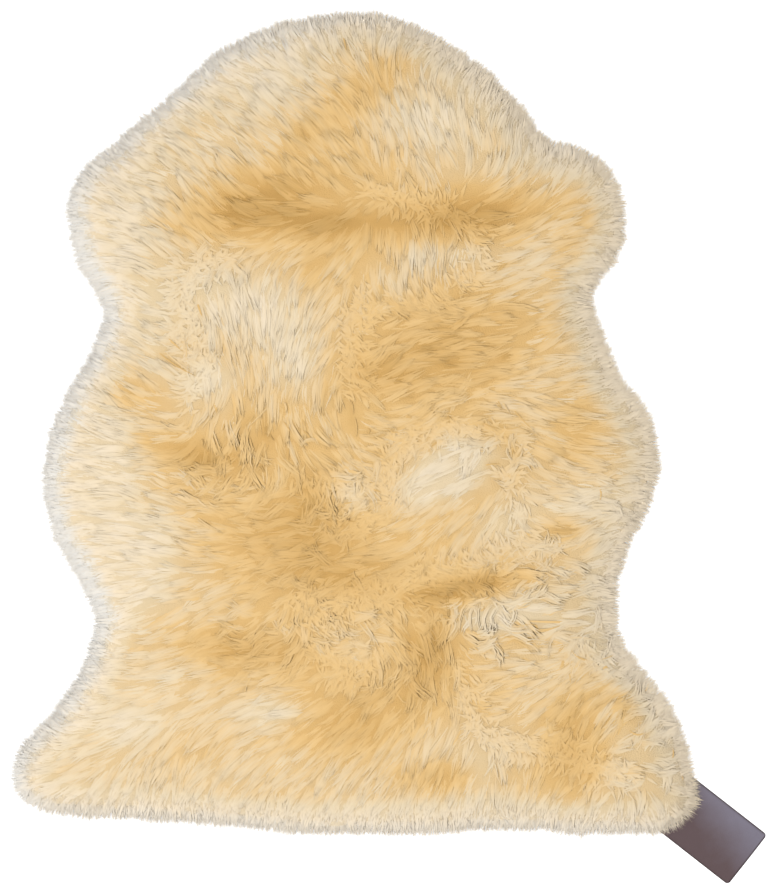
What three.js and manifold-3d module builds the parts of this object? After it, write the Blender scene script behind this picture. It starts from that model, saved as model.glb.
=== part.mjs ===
// A sheepskin rug: one whole tanned pelt, lying flat with its wool up, and a leather label sewn under one hind leg.
// Millimetres, +Z up. +Y runs from the tail end to the neck, and the floor is z = 0.
import * as THREE from "three";
import { ImprovedNoise } from "three/addons/math/ImprovedNoise.js";
import { mergeVertices } from "three/addons/utils/BufferGeometryUtils.js";
import Module from "manifold-3d";

const wasm = await Module();
wasm.setup();

// ---- Driving dimensions ----

const CLEARANCE = 0.3; // between two pieces that lie on each other
const HIDE_THICKNESS = 2; // tanned skin
const HIDE_INSET = 22; // how far the wool reaches past the skin's cut edge
const PILE_HEIGHT = 45; // floor to the top of the wool on the back
const RIM_ROUND = 50; // the wool climbs to that height over this distance from its edge
const RIM_WIDEST = 10; // height at which the rim stands out furthest
const RIM_UNDERCUT = 7; // how far the rim draws in again below that
const RIM_FLOOR_GAP = 0.6; // under the wool that hangs past the skin
const LOCK_REACH = 11; // the solid rim stops this far inside the outline, which the tips of the locks reach

const LABEL = { length: 140, width: 66, thickness: 1.6, corner: 4, bevel: 0.4, x: 318, y: -384, heading: -38 };
const LABEL_SOFTEN = 30; // the skin and the wool come back down to the floor over this distance from the label

const TOP_CELL = 19; // spacing of the points on the wool's upper side
const HIDE_CELL = 32; // spacing of the points on the skin
const CUT_EDGE_CELL = 16; // and along its cut edge

// The pelt's outline at the wool's tips, counterclockwise from the right flank.
const OUTLINE = [
  { at: "right flank", x: 281, y: -11 },
  { at: "right flank", x: 277, y: 20 },
  { at: "right flank", x: 261, y: 51 },
  { at: "behind the right foreleg", x: 237, y: 80 },
  { at: "behind the right foreleg", x: 223, y: 124 },
  { at: "behind the right foreleg", x: 209, y: 159 },
  { at: "right foreleg", x: 232, y: 186 },
  { at: "right foreleg", x: 248, y: 230 },
  { at: "right foreleg", x: 242, y: 269 },
  { at: "right foreleg", x: 220, y: 303 },
  { at: "right foreleg", x: 191, y: 315 },
  { at: "right shoulder", x: 168, y: 317 },
  { at: "right shoulder", x: 137, y: 360 },
  { at: "neck", x: 90, y: 402 },
  { at: "neck", x: 38, y: 436 },
  { at: "neck", x: -17, y: 454 },
  { at: "neck", x: -73, y: 450 },
  { at: "neck", x: -132, y: 436 },
  { at: "left shoulder", x: -180, y: 411 },
  { at: "left shoulder", x: -232, y: 363 },
  { at: "left shoulder", x: -287, y: 315 },
  { at: "left foreleg", x: -327, y: 276 },
  { at: "left foreleg", x: -333, y: 236 },
  { at: "left foreleg", x: -317, y: 180 },
  { at: "behind the left foreleg", x: -294, y: 145 },
  { at: "behind the left foreleg", x: -309, y: 102 },
  { at: "left flank", x: -337, y: 53 },
  { at: "left flank", x: -355, y: 3 },
  { at: "left flank", x: -359, y: -45 },
  { at: "left flank", x: -344, y: -98 },
  { at: "left loin", x: -317, y: -145 },
  { at: "left loin", x: -304, y: -180 },
  { at: "left hind leg", x: -317, y: -224 },
  { at: "left hind leg", x: -350, y: -274 },
  { at: "left hind leg", x: -386, y: -315 },
  { at: "left hind leg", x: -387, y: -357 },
  { at: "left hind leg", x: -352, y: -378 },
  { at: "tail end", x: -269, y: -384 },
  { at: "tail end", x: -165, y: -392 },
  { at: "tail end", x: -50, y: -401 },
  { at: "tail end", x: 74, y: -398 },
  { at: "tail end", x: 210, y: -398 },
  { at: "right hind leg", x: 291, y: -397 },
  { at: "right hind leg", x: 321, y: -370 },
  { at: "right hind leg", x: 311, y: -313 },
  { at: "right hind leg", x: 284, y: -253 },
  { at: "right loin", x: 245, y: -207 },
  { at: "right loin", x: 235, y: -167 },
  { at: "right flank", x: 245, y: -115 },
  { at: "right flank", x: 265, y: -72 },
  { at: "right flank", x: 279, y: -36 },
];
const SPINE = new THREE.Line3(new THREE.Vector3(-35, -215, 0), new THREE.Vector3(-35, 230, 0));

// Soft ridges and hollows of the wool. heading is the way each one runs, in degrees from +X.
const RELIEF = [
  { what: "hollow behind the neck", x: -150, y: 262, heading: 32, length: 190, width: 62, rise: -9 },
  { what: "ridge of the neck", x: -40, y: 375, heading: 0, length: 260, width: 90, rise: 3 },
  { what: "hollow over the right shoulder", x: 92, y: 226, heading: 2, length: 150, width: 48, rise: -8 },
  { what: "ridge between the shoulders", x: 60, y: 150, heading: -4, length: 210, width: 55, rise: 4 },
  { what: "pad of the left shoulder", x: -200, y: 120, heading: 35, length: 180, width: 90, rise: 5 },
  { what: "parting along the spine", x: -38, y: 85, heading: 82, length: 150, width: 26, rise: -6 },
  { what: "hollow under the parting", x: -140, y: -10, heading: 5, length: 170, width: 46, rise: -7 },
  { what: "pad of the back", x: 90, y: -25, heading: 12, length: 170, width: 80, rise: 5 },
  { what: "hollow of the left back", x: -90, y: -115, heading: 18, length: 210, width: 95, rise: -9 },
  { what: "curled ridge of the right loin", x: 110, y: -170, heading: 14, length: 220, width: 44, rise: 8 },
  { what: "hollow under the curled ridge", x: 30, y: -225, heading: 10, length: 200, width: 60, rise: -8 },
  { what: "hollow of the right loin", x: 150, y: -105, heading: 4, length: 120, width: 40, rise: -5 },
  { what: "pad of the left loin", x: -200, y: -245, heading: -20, length: 200, width: 80, rise: 5 },
  { what: "hollow of the right hind leg", x: 200, y: -270, heading: 55, length: 130, width: 46, rise: -6 },
  { what: "pad of the tail end", x: 0, y: -335, heading: 0, length: 420, width: 60, rise: 3 },
];
const LUMPS = [
  { across: 105, rise: 4 },
  { across: 44, rise: 4 },
];

// Two rows of locks hang over the rim, one above the other.
const LOCKS = [
  { row: "upper", count: 104, inside: 15, rootHeight: 25, tipHeight: 12, reach: 9, radius: 9 },
  { row: "lower", count: 104, inside: 12, rootHeight: 11, tipHeight: 4, reach: 13, radius: 8 },
];
const LOCK_SIDES = 3;
const LOCK_STEPS = 2;
const LOCK_SWAY = 7; // how far a tip leans along the rim
const LOCK_UNEVEN = 0.35; // share by which locks differ in reach

const noise = new ImprovedNoise();
const random = THREE.MathUtils.seededRandom;
const { degToRad, lerp, smoothstep } = THREE.MathUtils;

// ---- Outline and heights ----

const outline = new THREE.CatmullRomCurve3(
  OUTLINE.map(({ x, y }) => new THREE.Vector3(x, y, 0)),
  true,
  "centripetal",
);
outline.arcLengthDivisions = 1200;
const PERIMETER = outline.getLength();

// The inward normal of the outline at a share u of its length.
function inwardAt(u) {
  const tangent = outline.getTangentAt(u);
  return new THREE.Vector3(-tangent.y, tangent.x, 0);
}

// count points evenly along the outline, moved inwards.
function edgeRing(count, inset) {
  return Array.from({ length: count }, (_, i) => {
    const u = i / count;
    return outline.getPointAt(u).addScaledVector(inwardAt(u), inset);
  });
}

const atHeight = (ring, heightAt) => ring.map((p) => new THREE.Vector3(p.x, p.y, heightAt(p)));

const edgeSamples = edgeRing(360, LOCK_REACH);

function distanceToEdge(p) {
  return Math.min(...edgeSamples.map((q) => Math.hypot(p.x - q.x, p.y - q.y)));
}

// A point in the label's own axes, from its middle.
function inLabelAxes(p) {
  return new THREE.Vector2(p.x - LABEL.x, p.y - LABEL.y).rotateAround(
    new THREE.Vector2(),
    -degToRad(LABEL.heading),
  );
}

// How far the skin and the wool stand off the floor because the label lies under them.
function labelLift(p) {
  const at = inLabelAxes(p);
  const outside = Math.hypot(
    Math.max(Math.abs(at.x) - LABEL.length / 2, 0),
    Math.max(Math.abs(at.y) - LABEL.width / 2, 0),
  );
  const full = HIDE_CELL; // a whole cell clears the label, so that no facet between two points dips into it
  return (LABEL.thickness + CLEARANCE) * (1 - smoothstep(outside, full, full + LABEL_SOFTEN));
}

function reliefAt(p) {
  const folds = RELIEF.map(({ x, y, heading, length, width, rise }) => {
    const at = new THREE.Vector2(p.x - x, p.y - y).rotateAround(new THREE.Vector2(), -degToRad(heading));
    return rise * Math.exp(-2 * ((2 * at.x) / length) ** 2 - 2 * ((2 * at.y) / width) ** 2);
  });
  const lumps = LUMPS.map(({ across, rise }, i) => rise * noise.noise(p.x / across, p.y / across, 7.3 + 5.1 * i));
  return [...folds, ...lumps].reduce((sum, z) => sum + z, 0);
}

// Height of the wool's upper side.
function woolTop(p) {
  const inside = Math.min(distanceToEdge(p) / RIM_ROUND, 1);
  const round = Math.sqrt(1 - (1 - inside) ** 2);
  return lerp(RIM_WIDEST, PILE_HEIGHT, round) + reliefAt(p) * inside + labelLift(p);
}

// ---- Skins stitched through rings ----

// A closed surface through rings of points, from the lowest ring to the highest. Each ring runs counterclockwise from
// the same side, and the first and the last lie folded on the spine.
function skinThrough(rings) {
  const triangles = rings
    .slice(1)
    .flatMap((upper, k) => strip(rings[k], upper))
    .filter(([a, b, c]) => !a.equals(b) && !b.equals(c) && !c.equals(a));
  const geometry = new THREE.BufferGeometry().setFromPoints(triangles.flat());
  return mergeVertices(geometry, 1e-3);
}

// Triangles between a ring and the one after it. The one that lags behind takes the next step, so they may differ in
// number of points.
function strip(lower, upper) {
  const made = [];
  let i = 0;
  let j = 0;
  while (i < lower.length || j < upper.length) {
    const from = lower[i % lower.length];
    const to = upper[j % upper.length];
    const takeLower = j >= upper.length || (i < lower.length && (i + 1) / lower.length <= (j + 1) / upper.length);
    if (takeLower) {
      i += 1;
      made.push([from, lower[i % lower.length], to]);
    } else {
      j += 1;
      made.push([from, upper[j % upper.length], to]);
    }
  }
  return made;
}

// Rings that shrink from the outer ring onto the spine, about one cell apart, without the outer ring itself.
function ringsInside(ringOf, cell, heightAt) {
  const station = (p) => SPINE.closestPointToPointParameter(p, true);
  const onSpine = (t) => SPINE.at(t, new THREE.Vector3());
  const outer = ringOf(90);
  const reach = outer.reduce((sum, p) => sum + p.distanceTo(onSpine(station(p))), 0) / outer.length;
  const steps = Math.round(reach / cell);
  const ringAt = (share) => {
    const around = PERIMETER * lerp(0.55, 1, share); // the flanks stay as long as they are, and the ends close up
    return ringOf(Math.round(around / cell)).map((p) => onSpine(station(p)).lerp(p, share));
  };
  const rings = Array.from({ length: steps - 1 }, (_, k) => ringAt(1 - (k + 1) / steps));
  const last = ringOf(rings.at(-1).length);
  const stations = Math.floor((SPINE.distance() * last.length) / PERIMETER / 1.5); // each side passes every one
  const fold = last.map((p) => onSpine(Math.round(station(p) * stations) / stations));
  return [...rings, fold].map((ring) => atHeight(ring, heightAt));
}


const hideEdge = (count) => edgeRing(count, HIDE_INSET);
const CUT_EDGE_COUNT = Math.round(PERIMETER / CUT_EDGE_CELL);
const hideUnderside = (p) => labelLift(p);
const hideTop = (p) => HIDE_THICKNESS + labelLift(p);

// ---- Solids ----

function toSolid(geometry) {
  const bare = geometry.index ? geometry.clone() : mergeVertices(geometry);
  bare.deleteAttribute("normal");
  bare.deleteAttribute("uv");
  const merged = mergeVertices(bare, 1e-3);
  return new wasm.Manifold(
    new wasm.Mesh({
      numProp: 3,
      vertProperties: new Float32Array(merged.attributes.position.array),
      triVerts: new Uint32Array(merged.index.array),
    }),
  );
}

function toGeometry(solid) {
  const mesh = solid.getMesh();
  const geometry = new THREE.BufferGeometry();
  geometry.setAttribute("position", new THREE.BufferAttribute(mesh.vertProperties, 3));
  geometry.setIndex(new THREE.BufferAttribute(mesh.triVerts, 1));
  geometry.computeVertexNormals();
  return geometry;
}

// The tanned skin: a thin sheet, flat on the floor but for its soft rise over the label.
function hideGeometry() {
  const under = [atHeight(hideEdge(CUT_EDGE_COUNT), hideUnderside), ...ringsInside(hideEdge, HIDE_CELL, hideUnderside)];
  const over = [atHeight(hideEdge(CUT_EDGE_COUNT), hideTop), ...ringsInside(hideEdge, HIDE_CELL, hideTop)];
  return skinThrough([...under.reverse(), ...over]);
}

// The wool without its locks: a lumpy slab on the skin, rounded at the rim, which hangs past the skin to the floor.
function slabGeometry() {
  const count = Math.round(PERIMETER / TOP_CELL);
  const seat = (p) => hideTop(p) + CLEARANCE;
  const rimFloor = (p) => RIM_FLOOR_GAP + labelLift(p);
  const recess = HIDE_INSET - 1.5; // the wool's underside steps down just outside the skin's cut edge
  const seated = [atHeight(hideEdge(CUT_EDGE_COUNT), seat), ...ringsInside(hideEdge, HIDE_CELL, seat)];
  const rim = [
    atHeight(edgeRing(CUT_EDGE_COUNT, recess), seat),
    atHeight(edgeRing(CUT_EDGE_COUNT, recess - 0.5), rimFloor),
    atHeight(edgeRing(count, LOCK_REACH + RIM_UNDERCUT), rimFloor),
    atHeight(edgeRing(count, LOCK_REACH), (p) => RIM_WIDEST + labelLift(p)),
  ];
  const shoulder = [3, 11].map((inset) => atHeight(edgeRing(count, LOCK_REACH + inset), woolTop));
  const crown = ringsInside((n) => edgeRing(n, LOCK_REACH + 11), TOP_CELL, woolTop);
  return skinThrough([...seated.reverse(), ...rim, ...shoulder, ...crown]);
}

// A tapered, bent lock with its root inside the slab.
function lockGeometry(path, radius) {
  const cone = new THREE.ConeGeometry(radius, 1, LOCK_SIDES, LOCK_STEPS);
  const at = cone.attributes.position;
  for (let i = 0; i < at.count; i += 1) {
    const along = at.getY(i) + 0.5;
    const forward = path.getTangent(along);
    const side = new THREE.Vector3(0, 0, 1).cross(forward).normalize();
    const up = forward.clone().cross(side);
    const p = path.getPoint(along).addScaledVector(side, at.getX(i)).addScaledVector(up, -at.getZ(i));
    at.setXYZ(i, p.x, p.y, p.z);
  }
  return cone;
}

function lockPath(row, index) {
  const uneven = (salt) => random(1 + index * 17 + salt * 971) * 2 - 1;
  const u = (index + 0.5 + 0.3 * uneven(1) + (row.row === "upper" ? 0.5 : 0)) / row.count;
  const at = ((u % 1) + 1) % 1;
  const edge = outline.getPointAt(at).addScaledVector(inwardAt(at), LOCK_REACH);
  const inward = inwardAt(at);
  const along = outline.getTangentAt(at);
  const lift = labelLift(edge);
  const root = edge.clone().addScaledVector(inward, row.inside).setZ(row.rootHeight + lift);
  const bend = edge.clone().addScaledVector(inward, -1).setZ(lerp(row.rootHeight, row.tipHeight, 0.35) + lift);
  const tip = edge
    .clone()
    .addScaledVector(inward, -row.reach * (1 + LOCK_UNEVEN * (uneven(2) - 1)))
    .addScaledVector(along, LOCK_SWAY * uneven(3))
    .setZ(row.tipHeight + lift);
  return new THREE.QuadraticBezierCurve3(root, bend, tip);
}

function fleeceGeometry() {
  const locks = LOCKS.flatMap((row) =>
    Array.from({ length: row.count }, (_, i) => toSolid(lockGeometry(lockPath(row, i), row.radius))),
  );
  return toGeometry(locks.reduce((fleece, lock) => fleece.add(lock), toSolid(slabGeometry())));
}

// The label: a rounded rectangle of leather with a blank face.
function labelGeometry() {
  const { length, width, thickness, corner, bevel } = LABEL;
  const [right, top] = [length / 2 - bevel, width / 2 - bevel];
  const shape = new THREE.Shape();
  shape.absarc(right - corner, top - corner, corner, 0, Math.PI / 2);
  shape.absarc(corner - right, top - corner, corner, Math.PI / 2, Math.PI);
  shape.absarc(corner - right, corner - top, corner, Math.PI, Math.PI * 1.5);
  shape.absarc(right - corner, corner - top, corner, Math.PI * 1.5, Math.PI * 2);
  const geometry = new THREE.ExtrudeGeometry(shape, {
    depth: thickness - 2 * bevel,
    bevelThickness: bevel,
    bevelSize: bevel,
    bevelSegments: 1,
    curveSegments: 5,
  });
  return geometry.translate(0, 0, bevel);
}

// ---- Finish and assembly ----

const wool = new THREE.MeshStandardMaterial({ color: 0xe9cf9f, roughness: 0.95, metalness: 0 });
const suede = new THREE.MeshStandardMaterial({ color: 0xe3cfae, roughness: 0.9, metalness: 0 });
const leather = new THREE.MeshStandardMaterial({ color: 0x5b4448, roughness: 0.55, metalness: 0 });

function piece(name, geometry, material) {
  const mesh = new THREE.Mesh(geometry, material);
  mesh.name = name;
  return mesh;
}

const rug = new THREE.Group();
rug.add(piece("hide", hideGeometry(), suede));
rug.add(piece("fleece", fleeceGeometry(), wool));

const label = piece("label", labelGeometry(), leather);
label.position.set(LABEL.x, LABEL.y, 0);
label.rotation.z = degToRad(LABEL.heading);
rug.add(label);

// The origin is the middle of the rug's whole footprint, on the floor.
const footprint = new THREE.Box3().setFromObject(rug, true).getCenter(new THREE.Vector3());
rug.position.set(-footprint.x, -footprint.y, 0);

export default rug;
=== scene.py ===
"""A sheepskin rug: thick cream and honey wool on a suede hide, with a blank leather label under one hind leg."""

import math

import bmesh
import bpy
import numpy as np
from mathutils import Matrix, Vector, kdtree
from mathutils.bvhtree import BVHTree


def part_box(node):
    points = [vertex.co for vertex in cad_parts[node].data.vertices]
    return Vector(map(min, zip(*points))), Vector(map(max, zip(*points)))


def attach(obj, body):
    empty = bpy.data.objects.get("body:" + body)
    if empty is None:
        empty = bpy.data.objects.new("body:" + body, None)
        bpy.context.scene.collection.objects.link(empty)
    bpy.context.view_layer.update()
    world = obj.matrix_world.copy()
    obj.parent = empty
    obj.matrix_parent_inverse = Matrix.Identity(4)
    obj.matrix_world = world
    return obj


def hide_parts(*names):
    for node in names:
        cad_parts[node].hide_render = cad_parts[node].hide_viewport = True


bl_info = {
    "name": "Sheepskin Rug",
    "version": (1, 0, 0),
    "blender": (4, 5, 0),
    "location": "3D Viewport > Sidebar > Sheepskin",
    "description": "Builds the wool, hide and label of a sheepskin rug, and the studio around it",
    "category": "Add Mesh",
}

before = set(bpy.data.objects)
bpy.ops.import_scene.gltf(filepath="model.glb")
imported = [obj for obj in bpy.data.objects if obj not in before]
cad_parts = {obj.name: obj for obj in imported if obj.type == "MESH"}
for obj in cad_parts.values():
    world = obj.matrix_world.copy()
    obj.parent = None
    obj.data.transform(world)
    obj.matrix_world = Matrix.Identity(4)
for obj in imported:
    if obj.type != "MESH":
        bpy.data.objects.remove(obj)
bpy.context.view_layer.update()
MM = 0.001

# Which way the wool is combed: heading of the tips at each place, in degrees from +X. Places are in millimetres.
COMB = {
    # part of the pelt: [(x, y, heading), ...]
    "neck": [
        (-200, 350, 148), (-145, 385, 142), (-95, 410, 130), (-70, 430, 118), (-45, 415, 108), (-20, 425, 88),
        (-55, 380, 140), (10, 405, 45), (45, 415, 32), (65, 395, 48), (0, 380, 125), (40, 365, 110), (80, 360, 88),
        (110, 370, 65), (130, 345, 78), (-95, 360, 146), (-145, 345, 146), (0, 345, 112), (40, 320, 112),
        (80, 315, 95), (120, 310, 88), (145, 310, 88), (10, 295, 106), (50, 285, 115), (-35, 310, 118),
        (-75, 320, 136),
    ],
    "left shoulder": [
        (-305, 285, 158), (-250, 330, 155), (-315, 255, 165), (-315, 210, 170), (-260, 290, 150), (-210, 310, 148),
        (-270, 250, 160), (-225, 260, 135), (-180, 310, 140), (-125, 310, 135), (-175, 270, 138), (-120, 270, 140),
        (-75, 270, 128), (-270, 205, 162), (-220, 205, 135), (-185, 220, 135), (-295, 170, 172), (-240, 165, 145),
        (-250, 135, 150), (-280, 110, 155), (-225, 105, 140), (-295, 80, 150), (-245, 75, 148), (-210, 75, 150),
    ],
    "back of the neck": [
        (-145, 230, 175), (-95, 230, 190), (-55, 230, 210), (-125, 200, 228), (-85, 205, 222), (-50, 200, 225),
        (-65, 170, 228), (-20, 220, 265), (-15, 175, 266), (5, 200, 280), (30, 200, 282), (20, 165, 268),
        (50, 175, 268), (70, 200, 250),
    ],
    "right shoulder": [
        (165, 290, 68), (200, 295, 58), (135, 270, 38), (175, 260, 42), (215, 265, 42), (100, 245, 15),
        (145, 235, 22), (190, 230, 20), (230, 230, 22), (125, 205, 28), (165, 205, 18), (210, 200, 8),
        (90, 165, 25), (135, 170, 14), (185, 165, 10),
    ],
    "left fan": [
        (-195, 165, 295), (-165, 155, 290), (-125, 155, 272), (-90, 145, 262), (-55, 135, 235), (-195, 120, 300),
        (-165, 105, 290), (-125, 105, 270), (-85, 95, 245), (-55, 90, 240), (-185, 65, 298), (-145, 65, 280),
        (-110, 65, 250), (-70, 65, 240),
    ],
    "curled edge of the fan": [
        (-185, 40, 255), (-160, 30, 225), (-125, 20, 268), (-100, 25, 300), (-70, 35, 305), (-45, 40, 285),
        (-185, -5, 262), (-140, -10, 280), (-75, -5, 325),
    ],
    "right back": [
        (-15, 130, 28), (30, 135, 25), (80, 140, 12), (135, 140, 8), (185, 140, 20), (-20, 100, 25), (30, 100, 10),
        (80, 95, 8), (145, 100, 18), (195, 100, 22), (-20, 65, 28), (30, 65, 18), (80, 65, 22), (145, 65, 6),
        (195, 65, 8), (230, 60, 20), (-10, 35, 15), (40, 35, 20), (90, 40, 0),
    ],
    "left flank": [
        (-330, 25, 165), (-295, 50, 150), (-250, 40, 160), (-330, -20, 178), (-275, -5, 176), (-235, 10, 170),
        (-330, -65, 180), (-275, -60, 178), (-235, -45, 155), (-195, -45, 160), (-320, -110, 180),
        (-270, -110, 176), (-220, -95, 160), (-305, -160, 188), (-250, -160, 196), (-200, -165, 212),
        (-160, -115, 192), (-160, -70, 170),
    ],
    "left loin": [
        (-280, -210, 186), (-230, -195, 202), (-230, -225, 185), (-175, -215, 180), (-135, -250, 192),
        (-295, -250, 188), (-230, -250, 192), (-185, -190, 200),
    ],
    "middle of the back": [
        (-105, -65, 200), (-105, -115, 188), (-55, -95, 182), (-5, -115, 190), (-50, -45, 340), (-10, -45, 350),
        (-65, -150, 182), (-10, -75, 195),
    ],
    "pale patch": [
        (25, -20, 212), (60, 0, 212), (60, -40, 208), (25, -60, 212), (65, -70, 214), (100, -50, 222),
        (50, -105, 240), (85, -100, 245), (115, -85, 240),
    ],
    "right flank": [
        (145, 25, 330), (190, 25, 357), (245, 20, 15), (160, -20, 325), (205, -5, 356), (250, -20, 352),
        (200, -45, 0), (250, -50, 358), (155, -60, 355), (215, -75, 30), (180, -90, 8), (225, -105, 35),
        (135, -115, 15), (185, -130, 6), (220, -140, 2),
    ],
    "right loin": [
        (40, -150, 18), (85, -140, 28), (130, -150, 10), (175, -160, 0), (215, -170, 0), (55, -185, 262),
        (80, -180, 268), (115, -175, 278), (165, -190, 0), (210, -195, 358), (100, -215, 12), (145, -210, 0),
        (225, -215, 10),
    ],
    "tail": [
        (-75, -180, 325), (-35, -180, 335), (-45, -215, 28), (10, -205, 300), (40, -225, 290), (65, -250, 260),
        (30, -260, 245), (-5, -250, 235), (-55, -240, 212), (-95, -250, 200), (-110, -205, 230),
    ],
    "right hind leg": [
        (100, -240, 30), (145, -240, 22), (180, -245, 38), (225, -245, 20), (260, -255, 22), (115, -285, 30),
        (155, -285, 50), (190, -290, 68), (240, -280, 38), (275, -285, 32), (290, -310, 20), (215, -315, 62),
        (255, -315, 40), (300, -345, 5), (175, -335, 235), (215, -350, 232), (255, -345, 290), (285, -365, 300),
        (145, -330, 255),
    ],
    "left hind leg": [
        (-335, -275, 186), (-280, -285, 195), (-360, -320, 195), (-315, -325, 204), (-370, -350, 200),
        (-330, -360, 215), (-280, -330, 225), (-235, -290, 220), (-190, -265, 226), (-240, -335, 258),
        (-270, -360, 240),
    ],
    "tail end": [
        (-145, -290, 210), (-95, -290, 212), (-55, -300, 220), (-5, -300, 218), (-180, -330, 222),
        (-125, -330, 222), (-75, -335, 225), (-20, -335, 232), (30, -310, 250), (70, -315, 240), (20, -345, 245),
        (70, -350, 250), (115, -325, 262), (-200, -365, 262), (-125, -370, 262), (-55, -375, 264), (30, -380, 262),
        (115, -380, 266), (185, -380, 258), (260, -380, 286),
    ],
}

# Where the wool is more golden (+) or paler (-) than around it, as soft ellipses.
TONES = {
    # part of the pelt: [(x, y, heading, length, width, change), ...]
    "hollow behind the neck": [(-139, 255, 12, 215, 76, 0.3), (-64, 231, 0, 270, 44, 0.26)],
    "hollow over the right shoulder": [(94, 243, 5, 198, 68, 0.36)],
    "crown of the neck": [(-28, 367, 40, 187, 60, 0.2)],
    "parting of the crown": [(-92, 320, 50, 100, 40, 0.06)],
    "neck": [(40, 336, 0, 114, 73, -0.12), (-126, 388, 30, 125, 73, -0.18)],
    "left shoulder": [(-282, 227, 70, 166, 94, -0.22)],
    "below the neck": [(50, 198, 0, 125, 47, -0.14), (-74, 201, 60, 114, 42, 0.1)],
    "left fan": [(-137, 144, -20, 180, 109, -0.24), (-100, 85, 0, 90, 94, -0.17), (-184, 71, 0, 94, 52, -0.14)],
    "right back": [
        (82, 112, 10, 270, 140, 0.22), (-7, 76, 0, 114, 57, 0.16), (10, 170, 0, 90, 50, -0.1),
        (103, 12, 0, 80, 42, 0.1),
    ],
    "left flank": [
        (-272, 55, -10, 114, 62, 0.2), (-248, 135, 90, 110, 55, -0.09), (-310, -40, 80, 260, 90, -0.36),
        (-270, -122, 60, 150, 90, -0.3), (-190, 52, -40, 90, 60, -0.06),
    ],
    "curled edge of the fan": [(-204, -7, -15, 135, 44, 0.26), (-132, 8, 0, 94, 42, 0.1)],
    "middle of the back": [
        (-90, -96, -15, 220, 140, 0.22), (-38, -132, 0, 166, 56, 0.12), (-83, -44, 90, 94, 57, 0.12),
    ],
    "curls of the middle": [(-43, -49, 0, 62, 47, -0.16)],
    "pale patch": [(61, -21, 30, 125, 70, -0.42), (30, -44, 30, 60, 40, -0.1), (113, -75, 30, 110, 60, -0.12)],
    "right flank": [(191, 17, 100, 130, 90, 0.18), (206, -54, 0, 73, 42, -0.14), (175, -85, 0, 62, 31, 0.14)],
    "under the curled ridge": [(73, -143, 12, 146, 29, 0.44), (38, -210, 75, 146, 66, 0.28)],
    "hanging locks": [(113, -175, 0, 130, 44, -0.27)],
    "left loin": [(-158, -205, -6, 229, 57, 0.22), (-199, -309, 0, 156, 57, 0.09), (-126, -270, 0, 114, 47, -0.18)],
    "tail": [(-43, -285, 10, 176, 104, 0.24), (-48, -200, 0, 94, 52, -0.08)],
    "right hind leg": [(186, -306, 80, 170, 92, 0.26), (243, -262, -40, 94, 47, 0.16)],
    "left hind leg": [(-272, -285, 0, 114, 52, -0.16)],
    "tail end": [(92, -337, 0, 62, 62, -0.16), (60, -338, 0, 170, 48, 0.24), (-147, -356, 0, 270, 42, 0.06)],
    "right loin": [(138, -192, 0, 62, 47, 0.09), (160, -116, 10, 94, 36, 0.06)],
    "right shoulder": [(190, 222, 70, 120, 70, 0.1)],
}

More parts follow.
